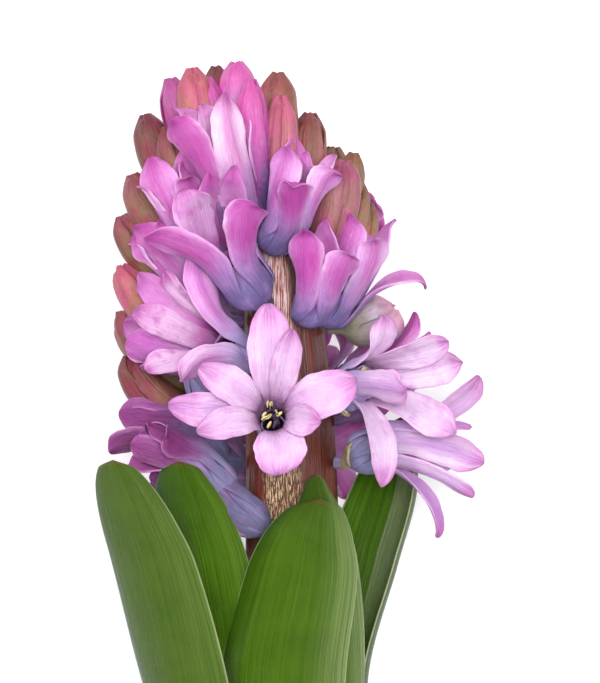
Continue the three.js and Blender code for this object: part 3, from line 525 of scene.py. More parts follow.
def stalkMaterial():
    form, tints = stalkFinish, painted(stalkColours)
    material, across, reach, inner, place = newMaterial("stalk", form, "across", "reach", "inner")
    streaks, fine = veinLines(across, reach, *form["streaks"]), veinLines(across, reach, *form["fine"])
    names = ("dark", "middle", "light", "olive")
    stops = [(stop, tints[tint]) for stop, tint in zip(form["stops"], names)]
    fineShade, streakShade = form["shades"]
    colour = ramp(fine * fineShade + streaks * streakShade, *stops)
    long = addNode("ShaderNodeMapping", {"Vector": place, "Scale": form["fleckShape"]})
    # painted highlight: towards the top the band turns to the glow colour and its flecks to near white
    upper = rise(reach, *form["upper"])
    fleck = rise(noise(long, *form["flecks"]) + upper * 0.02, *form["fleck"])
    # the band lies down the side that faces the light, partly painted highlight
    band = rise(across, *form["bandStart"]) * rise(across, *form["bandEnd"])
    colour = mix(band * form["bandShare"], colour, mix(upper, tints["olive"], tints["glow"]))
    fleck *= calc("MULTIPLY_ADD", band, *form["fleckShare"])
    colour = mix(fleck, colour, mix(upper, tints["tan"], tints["fleck"]))
    colour = mix(inner, colour, tints["flesh"])
    return finishMaterial(material, form, colour, fine, streaks, place)


# Stamens: near black purple, with cream pollen where reach is high.
stamenFinish = {
    "soft": 0.0, "softTint": (1.0, 0.6, 0.8), "dark": (42, 20, 56), "between": (112, 92, 52),
    "pollen": (214, 202, 136), "grains": (4000.0, -0.25, 0.25), "roughness": (0.5, 0.85), "height": 0.0001}


def stamenMaterial():
    form = stamenFinish
    material, reach, place = newMaterial("stamens", form, "reach")
    grains = mottle(place, *form["grains"])
    colour = ramp(reach + grains, (0.3, paint(*form["dark"])), (0.6, paint(*form["between"])),
                  (0.95, paint(*form["pollen"])))
    return finishMaterial(material, form, colour, reach, grains, place)


bractFinish = {
    "soft": 0.1, "softTint": (1.0, 0.6, 0.8), "between": (206, 190, 160), "vein": (170, 158, 104),
    "veins": (4.0, 9.0, 2.0), "roughness": (0.45, 0.65), "height": 0.00008}


def bractMaterial():
    form = bractFinish
    material, across, reach, place = newMaterial("bract", form, "across", "reach")
    veins = veinLines(across, reach, *form["veins"])
    colour = mix(veins, paint(*form["between"]), paint(*form["vein"]))
    return finishMaterial(material, form, colour, veins, veins, place)


petals = {name: petalMaterial(name, tint) for name, tint in petalTints.items()}
budSkins = {name: budMaterial(name, tint) for name, tint in budTints.items()}
leafSkins = {name: leafMaterial(name, tint) for name, tint in leafTints.items()}
stalkSkin = stalkMaterial()
stamenSkin = stamenMaterial()
bractSkin = bractMaterial()
print("materials made", len(bpy.data.materials))


# The stalk: its middle line as height, x, z and radius, with ribs that turn slowly round it. Rims are the
# rings of the cut face, from its middle out.
stalk = {
    "cut": -81.5, "crown": 74, "point": 0.8, "ribs": 5, "ribDepth": 0.05, "ribTwist": 0.02,
    "fineRibs": 9, "fineRibDepth": 0.02, "flutes": 31, "fluteDepth": 0.008, "round": 110, "along": 170,
    "rims": (0.0, 0.55, 0.93, 1.0), "line": [
        [-81.5, 0.5, 12.7, 8.1], [-55, 0.4, 16, 8.2], [-25, 0.2, 20, 8.2], [0, 0, 23.5, 8],
        [20, -0.4, 26, 7.5], [38, -1.4, 27.8, 6.6], [54, -2.8, 29.2, 4.8], [66, -4.4, 30.2, 3],
        [74, -5.8, 30.8, 1.5]]}


def stalkPoint(turn, height, share=1.0):
    _, x, z, radius = between(stalk["line"], height)
    ribs = 1 + stalk["ribDepth"] * math.cos(stalk["ribs"] * turn + height * stalk["ribTwist"])
    ribs += stalk["fineRibDepth"] * math.cos(stalk["fineRibs"] * turn)
    ribs += stalk["fluteDepth"] * math.cos(stalk["flutes"] * turn + 0.6 * math.sin(height * 0.11))
    reach = radius * ribs * share
    return Vector((x + math.cos(turn) * reach, height, z + math.sin(turn) * reach))


def buildStalk():
    rims, steps = stalk["rims"], stalk["along"]

    def place(around, along):
        turn, step = around * math.tau, round(along * steps)
        side = math.cos(turn)
        if step < len(rims):
            return stalkPoint(turn, stalk["cut"], rims[step]), side, 0, 1 if step < len(rims) - 1 else 0.4
        if step == steps:
            _, x, z, _ = stalk["line"][-1]
            return Vector((x, stalk["crown"] + stalk["point"], z)), side, 1, 0
        share = (step - len(rims) + 1) / (steps - len(rims))
        return stalkPoint(turn, blend(stalk["cut"], stalk["crown"], share)), side, share, 0

    bm = newSkin()
    wrapGrid(bm, stalk["round"], steps, place)
    finishPiece(bm, "stalk_ribbed", stalkSkin, "stalk", "stalk")


# Leaves: skin, radius, turn and width of the sheath, then where each section lies, as height, x, z, width,
# turn and bend. Turn is the way the outer face looks, from 0 for straight up round through +X, and bend is
# half the angle that the section curls through.
leafForm = {
    "thick": 1.7, "rim": 0.36, "keel": 0.25, "keelWidth": 0.16, "wave": 0.12, "sheathTop": -68,
    "closing": 1.4, "rims": (0.0, 0.8, 1.0), "round": 72, "along": 110}
leaves = {
    "leaf_front": ("plain", 12.4, 14, 16.5, [
        [-55, 0.4, 31.4, 21, 5, 46], [-25, -1.2, 36, 24, 0, 44], [-7, 1.8, 39.2, 21.4, -2, 42],
        [-0.5, 2.8, 40.4, 17, -4, 38], [3.4, 3.8, 41, 12.2, -4, 34], [5.4, 4.6, 41.3, 7.8, -4, 30],
        [6.4, 5, 41.4, 3.6, -4, 28]]),
    "leaf_left_outer": ("pale", 12.4, -66, 16.5, [
        [-55, -14.4, 22.6, 19.5, -52, 38], [-26, -20, 32.4, 20, -34, 34], [-5, -24.8, 37.2, 18, -28, 32],
        [2.6, -27.2, 38.8, 15.4, -26, 30], [8, -29, 39.8, 12, -26, 28], [11.4, -30, 40.3, 7.8, -26, 26],
        [13, -30.4, 40.5, 3.8, -26, 24]]),
    "leaf_right": ("folded", 12.4, 105, 16.5, [
        [-55, 13.2, 13.4, 18.5, 110, 44], [-27, 11.6, 13, 20, 120, 48], [-6, 16, 12.8, 22, 130, 54],
        [6, 19.4, 13.4, 20, 130, 54], [14, 20.4, 14.6, 13.5, 126, 48], [18, 20.4, 15.4, 7.5, 122, 42],
        [20, 20.2, 15.8, 3.4, 120, 38]]),
    "leaf_back": ("plain", 9.8, 196, 16.5, [
        [-55, -2.6, 1.1, 18, 188, 34], [-32, -2.6, 0.3, 18, 180, 24], [-14, -2.4, 0.3, 15, 180, 22],
        [-6, -2, 0.9, 9, 180, 22], [-2, -1.8, 1.5, 3, 180, 20]]),
    "leaf_left_inner": ("deep", 10, -40, 13.5, [
        [-55, -7.6, 26.2, 15, -34, 40], [-26, -11.4, 30.2, 16, -22, 34], [-5, -14.8, 34.4, 15.5, -14, 34],
        [4, -17.2, 36.4, 13.8, -10, 32], [9, -18.6, 37.6, 10, -10, 30], [11.8, -19, 38.1, 6.2, -10, 28],
        [12.8, -19.2, 38.3, 3.6, -10, 28]]),
    "leaf_front_inner": ("plain", 10, 62, 13.5, [
        [-55, 8.2, 24.6, 15, 44, 40], [-25, 6.4, 31, 18, 24, 36], [-5, 4.8, 34.8, 15.5, 8, 32],
        [3, 5, 36.2, 9.5, 4, 28], [7.4, 4.7, 36.8, 5, 2, 26], [10.6, 4.4, 37, 2, 0, 24]]),
}


def buildLeaf(name, skin, sheath, turn, width, stations):
    form, rims, steps = leafForm, leafForm["rims"], leafForm["along"]
    table, sections = [], []
    outward, bend = acrossStalk(90 - turn), math.degrees(width / (2 * sheath))
    for height in (stalk["cut"], form["sheathTop"]):
        _, x, z, _ = between(stalk["line"], height)
        table.append([height, x + outward.x * sheath, z + outward.z * sheath, width, turn, bend])
    table += stations
    tipHeight = table[-1][0]
    for step in range(steps + 1):
        share = max(step - len(rims) + 1, 0) / (steps - len(rims) + 1)
        share = 1 - (1 - share) ** 1.5
        height = blend(stalk["cut"], tipHeight, share)
        _, x, z, wide, turned, bent = between(table, height)
        bend = math.radians(bent)
        radius = wide / (2 * bend)
        close = min(max((height - tipHeight + form["closing"]) / form["closing"], 0), 1)
        narrow = math.sqrt(max(1 - close * close, 0))
        middle = Vector((x, height, z)) - acrossStalk(90 - turned) * radius
        full = rims[min(step, len(rims) - 1)] * narrow
        sections.append((middle, radius, turned, bend * narrow, full, share))

    def place(around, along):
        middle, radius, turned, bend, full, share = sections[round(along * steps)]
        across, side = math.cos(around * math.tau), math.sin(around * math.tau)
        thick = form["thick"] / 2 * blend(1, form["rim"], across ** 4)
        thick *= math.copysign(abs(side) ** 0.5, side)
        keel = form["keel"] * math.exp(-(across / form["keelWidth"]) ** 2) * (1 if side > 0 else 0.6)
        wave = form["wave"] * math.sin(share * 9 + 2 * across) * across ** 2
        out = acrossStalk(90 - turned - math.degrees(across * bend * full))
        reach = radius + thick * full + (keel * 0.5 + wave) * full * eased(0, 0.2, share)
        return middle + out * reach, across, share, 0 if side > 0.02 else 1 if side < -0.02 else 0.5

    bm = newSkin()
    wrapGrid(bm, form["round"], steps, place)
    finishPiece(bm, name + "_blade", leafSkins[skin], "leaf", name)


# Where a floret or bud leaves the stalk.
pedicel = {"radius": 1.1, "footReach": 1.05, "gap": 0.3}


def footOn(height, towards, grows=None):
    _, x, z, radius = between(stalk["line"], height)
    away = Vector((towards.x - x, 0, towards.z - z)).normalized() if grows is None else acrossStalk(grows)
    return Vector((x, height, z)) + away * (radius * pedicel["footReach"] + pedicel["gap"]), away


def heading(curve, share):
    step = 0.01
    return (cubic(curve, min(share + step, 1)) - cubic(curve, max(share - step, 0))).normalized()


# Two directions across a curve, and the one that lies turn round from the first.
def ringFrame(curve, share):
    way = heading(curve, share)
    other = way.cross(Vector((0, 0, 1)).cross(way)).normalized()
    return other.cross(way).normalized(), other


def turnedOn(ring, turn):
    return ring[0] * math.cos(turn) + ring[1] * math.sin(turn)


# A point on the wall of a tube or bud, on the side of the given direction.
def onWall(tube, share, side, lift):
    way = heading(tube["curve"], share)
    radial = (side - way * side.dot(way)).normalized()
    return cubic(tube["curve"], share) + radial * (between(tube["profile"], share)[1] + lift)


# The tube of a floret: its curve, its radius along it and the way its mouth looks.
tubeForm = {
    "belly": 0.92, "start": 0.32, "end": 0.42, "round": 42, "outer": 30, "throat": 12, "lip": 0.86,
    "depth": 0.36, "seams": 0.03, "tuck": 0.12, "rim": 2.4}


def makeTube(shape):
    mouth, facing = Vector(shape["mouth"]), Vector(shape["facing"]).normalized()
    foot, away = footOn(shape["foot"], mouth, shape.get("grows"))
    length, flare, stem = (mouth - foot).length, shape["flare"], pedicel["radius"]
    belly = flare * tubeForm["belly"]
    start, end = foot + away * length * tubeForm["start"], mouth - facing * length * tubeForm["end"]
    return {
        "curve": (foot, start, end, mouth),
        "profile": [[0, stem], [0.17, stem], [0.23, stem * 1.3], [0.31, belly * 0.78], [0.42, belly * 1.02],
                    [0.54, belly * 1.06], [0.74, flare * 0.88], [1, belly]],
        "foot": foot, "away": away, "mouth": mouth, "facing": facing, "flare": flare, "length": length}


def addTube(bm, tube, rim):
    form, top = tubeForm, 1 - rim / tube["length"]
    rings = [(0, 0, 0)] + [(top * step / form["outer"], 1, 0) for step in range(form["outer"] + 1)]
    for step in range(1, form["throat"] + 1):
        down = step / form["throat"]
        rings.append((top - form["depth"] * down, form["lip"] * (1 - down ** 3), 1))
    frames = [ringFrame(tube["curve"], share) for share, _, _ in rings]

    def place(around, along):
        index, turn = round(along * (len(rings) - 1)), around * math.tau
        share, full, inner = rings[index]
        seams = 1 + form["seams"] * math.cos(6 * turn) * eased(0.2, 0.5, share)
        tuck = 1 - form["tuck"] * eased(0.6, 0.8, share)
        radius = between(tube["profile"], share)[1] * full * seams * tuck
        point = cubic(tube["curve"], share) + turnedOn(frames[index], turn) * radius
        return point, math.cos(3 * turn), 0.5 * share, inner

    wrapGrid(bm, form["round"], len(rings) - 1, place)


# A lobe is a cupped blade with a lens-shaped section. Its path runs up the tube's wall and out to the tip.
# Claw, split, widen, peak, blunt, lean and hook give a value for an open floret and one for a half-shut one.
lobeForm = {
    "root": 5, "wall": [(0.3, 0.5), (0.44, 0.3), (0.58, 0.14)], "freeSteps": 12, "thick": 0.4,
    "tipThick": 0.24, "groove": 0.2, "crease": 0.17, "wave": 0.3, "ragged": 0.035, "round": 24, "along": 32,
    "cup": 0.78, "taper": 0.6, "overlap": 0.1, "least": 0.42, "most": 0.98, "fillGap": 1.75, "fillStep": 1.3,
    "fillView": 0.3, "fillReach": 0.82, "fillLobe": (6, 1, 0), "shutAt": 0.6, "wallSpread": (0.3, 0.75),
    "curve": (0.86, 1.05, 0.3, 0.7), "leastRoot": 0.62, "claw": (0.44, 0.7), "split": (0.4, 0.72),
    "widen": (1, 1.1), "peak": (0.82, 1.08), "blunt": ((0.48, 0.74), (0.62, 1.15)), "lean": (0.3, 1),
    "hook": ((-0.5, 0.9), (-1.7, -0.7)), "lift": (0.24, 0.1), "blush": (-0.4, 0.6)}


def isShut(tube):
    return tube["facing"].y > lobeForm["shutAt"]


def lobeDirection(tube, lobe):
    outward = Vector(lobe[4]) if len(lobe) > 4 else Vector(lobe[0]) - tube["mouth"]
    return (outward - tube["facing"] * outward.dot(tube["facing"])).normalized()


# The lobes in order round the mouth, each with the part of the rim that it takes up. Where the rim would
# be left bare, plain lobes close it.
def shareRim(tube, lobes):
    form, facing, mouth = lobeForm, tube["facing"], tube["mouth"]
    ring = ringFrame(tube["curve"], 1)
    placed = []
    for lobe in lobes:
        outward = lobeDirection(tube, lobe)
        placed.append((math.atan2(outward.dot(ring[1]), outward.dot(ring[0])) % math.tau, lobe))
    placed.sort(key=lambda entry: entry[0])
    mean = sum((Vector(lobe[0]) - mouth).length for lobe in lobes) / len(lobes)
    for index, (angle, _) in enumerate(list(placed)):
        gap = (placed[(index + 1) % len(lobes)][0] - angle) % math.tau or math.tau
        count = math.ceil(gap / form["fillStep"]) - 1 if gap > form["fillGap"] else 0
        for step in range(count):
            turn = angle + gap * (step + 1) / (count + 1)
            outward = turnedOn(ring, turn)
            outward = (outward - facing * outward.dot(facing)).normalized()
            if isShut(tube) or outward.z <= form["fillView"]:
                tip = mouth + facing * mean * form["fillReach"] + outward * tube["flare"] * 0.9
                placed.append((turn % math.tau, (tuple(tip), *form["fillLobe"])))
    placed.sort(key=lambda entry: entry[0])
    shares = []
    for index, (angle, lobe) in enumerate(placed):
        halves = []
        for gap in (angle - placed[index - 1][0], placed[(index + 1) % len(placed)][0] - angle):
            half = (gap % math.tau or math.tau) / 2 + form["overlap"]
            halves.append(min(max(half, form["least"]), form["most"]))
        turn = angle + (halves[1] - halves[0]) / 2
        shares.append((lobe, turnedOn(ring, turn), (halves[0] + halves[1]) / 2))
    return shares


# A row of a lobe's path: distance from its start, point, half width, bend radius, reach and freedom.
def addRow(rows, point, *values):
    distance = rows[-1][0] + (point - Vector(rows[-1][1:4])).length if rows else 0
    rows.append([distance, *point, *values])


def lobePath(tube, lobe, wallSide, wallHalf, lift):
    form, (tip, width, arch, _) = lobeForm, lobe[:4]
    mouth, facing, flare = tube["mouth"], tube["facing"], tube["flare"]
    end = Vector(tip)
    reach = end - mouth
    forward = reach.dot(facing)
    aside = reach - facing * forward
    outward = lobeDirection(tube, lobe)
    wallSide = (wallSide - facing * wallSide.dot(facing)).normalized()
    lower, upper, inner, outer = form["curve"]
    curve = (mouth - facing * form["root"] + outward * (flare * lower),
             mouth + facing * (inner * max(forward, 0) + 1) + outward * (flare * upper),
             mouth + facing * (outer * forward + arch) + outward * (inner * flare) + aside * outer, end)
    rootShare = max(1 - form["root"] / tube["length"], form["leastRoot"])
    rows = []
    for share, sunk in form["wall"]:
        radius = between(tube["profile"], share)[1]
        half = radius * wallHalf * blend(*form["wallSpread"], share)
        addRow(rows, onWall(tube, share, wallSide, lift - sunk), half, radius + 0.1, 0.5 * share, 0)
    shut = isShut(tube)
    claw, split = form["claw"][shut], form["split"][shut]
    width *= form["widen"][shut]
    for step in range(1, form["freeSteps"] + 1):
        share = step / form["freeSteps"]
        point = cubic(curve, share) + outward * (0.3 + lift) * (1 - share) ** 2
        point += (wallSide - outward) * flare * (1 - eased(0.1, 0.55, share))
        fullness = claw + (1.02 - claw) * max(math.sin(math.pi * form["peak"][shut] * share), 0) ** 1.3
        half = blend(flare * wallHalf * eased(-0.15, 0.15, share), width / 2 * fullness,
                     eased(0.12, split, share))
        bend = blend(flare, width * form["cup"] / (1 - 0.5 * share), eased(0.2, 0.6, share))
        addRow(rows, point, half, bend, blend(0.5 * rootShare, 1, share), share)
    return rows, facing.cross(outward)


def addLobe(bm, rows, side, draw, hook, twist=0, shut=False, thick=lobeForm["thick"], blush=0.0, blunt=None):
    form, total, steps = lobeForm, rows[-1][0], lobeForm["along"]
    phase, sway, lean = draw.uniform(0, math.tau), draw.uniform(-1, 1), draw.uniform(-0.12, 0.12)
    pinch, blunt = draw.uniform(0.4, 0.8), draw.uniform(*(blunt or form["blunt"][shut]))
    aside = draw.uniform(-1, 1) * form["lean"][shut]
    stations = []
    for step in range(steps + 1):
        share = 1 - (1 - step / steps) ** 1.3
        distance = total * share
        values = between(rows, distance)
        ahead, behind = between(rows, min(distance + 0.2, total)), between(rows, max(distance - 0.2, 0))
        way = (Vector(ahead[1:4]) - Vector(behind[1:4])).normalized()
        half, bend, reach, free = values[4:8]
        across = (side - way * side.dot(way)).normalized()
        across = Matrix.Rotation(math.radians(twist) * free, 3, way) @ across
        inward = way.cross(across).normalized()
        beyond = max((free - form["taper"]) / (1 - form["taper"]), 0)
        half *= max(1 - beyond ** 2.2, 0) ** blunt * eased(0, 0.06, share)
        bend *= blend(1, pinch, eased(0.7, 1, free))
        skin = blend(thick, form["tipThick"], free) * (0 if step in (0, steps) else 1)
        drift = 0.35 * sway * math.sin(free * math.pi) + aside * eased(0.6, 1, free) ** 2
        centre = Vector(values[1:4]) + inward * (hook * eased(0.7, 1, free) ** 2) + across * drift
        stations.append((centre, across, inward, half, bend, skin, reach, free))

    def place(around, along):
        centre, across, inward, half, bend, skin, reach, free = stations[round(along * steps)]
        wide, face = math.cos(around * math.tau), math.sin(around * math.tau)
        spread = eased(0.05, 0.4, free) * (1 if skin else 0)
        ragged = math.sin(free * 17 + phase + 2 * wide) + 0.6 * math.sin(free * 37 + 3 * phase - 3 * wide)
        turn = wide * half / bend * (1 + lean * wide + form["ragged"] * ragged * spread)
        lift = skin * math.copysign(abs(face) ** 0.6, face)
        lift -= form["groove"] * math.exp(-(wide / 0.2) ** 2) * spread
        lift += form["crease"] * math.cos(wide * 7 + 3 * sway) * spread * (1 - wide * wide)
        lift += form["wave"] * wide * wide * math.sin(free * 9 + phase + 2 * wide) * spread
        point = centre + across * bend * math.sin(turn) + inward * (bend * (1 - math.cos(turn)) + lift)
        return point, wide, reach, 1 if face > 0.02 else 0 if face < -0.02 else 0.5

    wrapGrid(bm, form["round"], steps, place, blush)


# A bract is a small plain lobe from the foot of a tube, given as its tip and width.
bractForm = {"steps": 6, "start": 0.9, "bow": 1, "thick": 0.3, "hook": 0.3}


def addBract(bm, shape, tube, draw):
    tip, width = shape
    end, start = Vector(tip), tube["foot"] + tube["away"] * bractForm["start"]
    middle = (start + end) / 2 + tube["away"] * bractForm["bow"]
    rows = []
    for step in range(bractForm["steps"] + 1):
        share = step / bractForm["steps"]
        point = start * (1 - share) ** 2 + middle * 2 * share * (1 - share) + end * share ** 2
        half = width / 2 * (0.62 + 0.4 * math.sin(math.pi * 0.85 * share))
        addRow(rows, point, half, width, share, share)
    side = tube["away"].cross(end - start).normalized()
    addLobe(bm, rows, side, draw, bractForm["hook"], thick=bractForm["thick"])


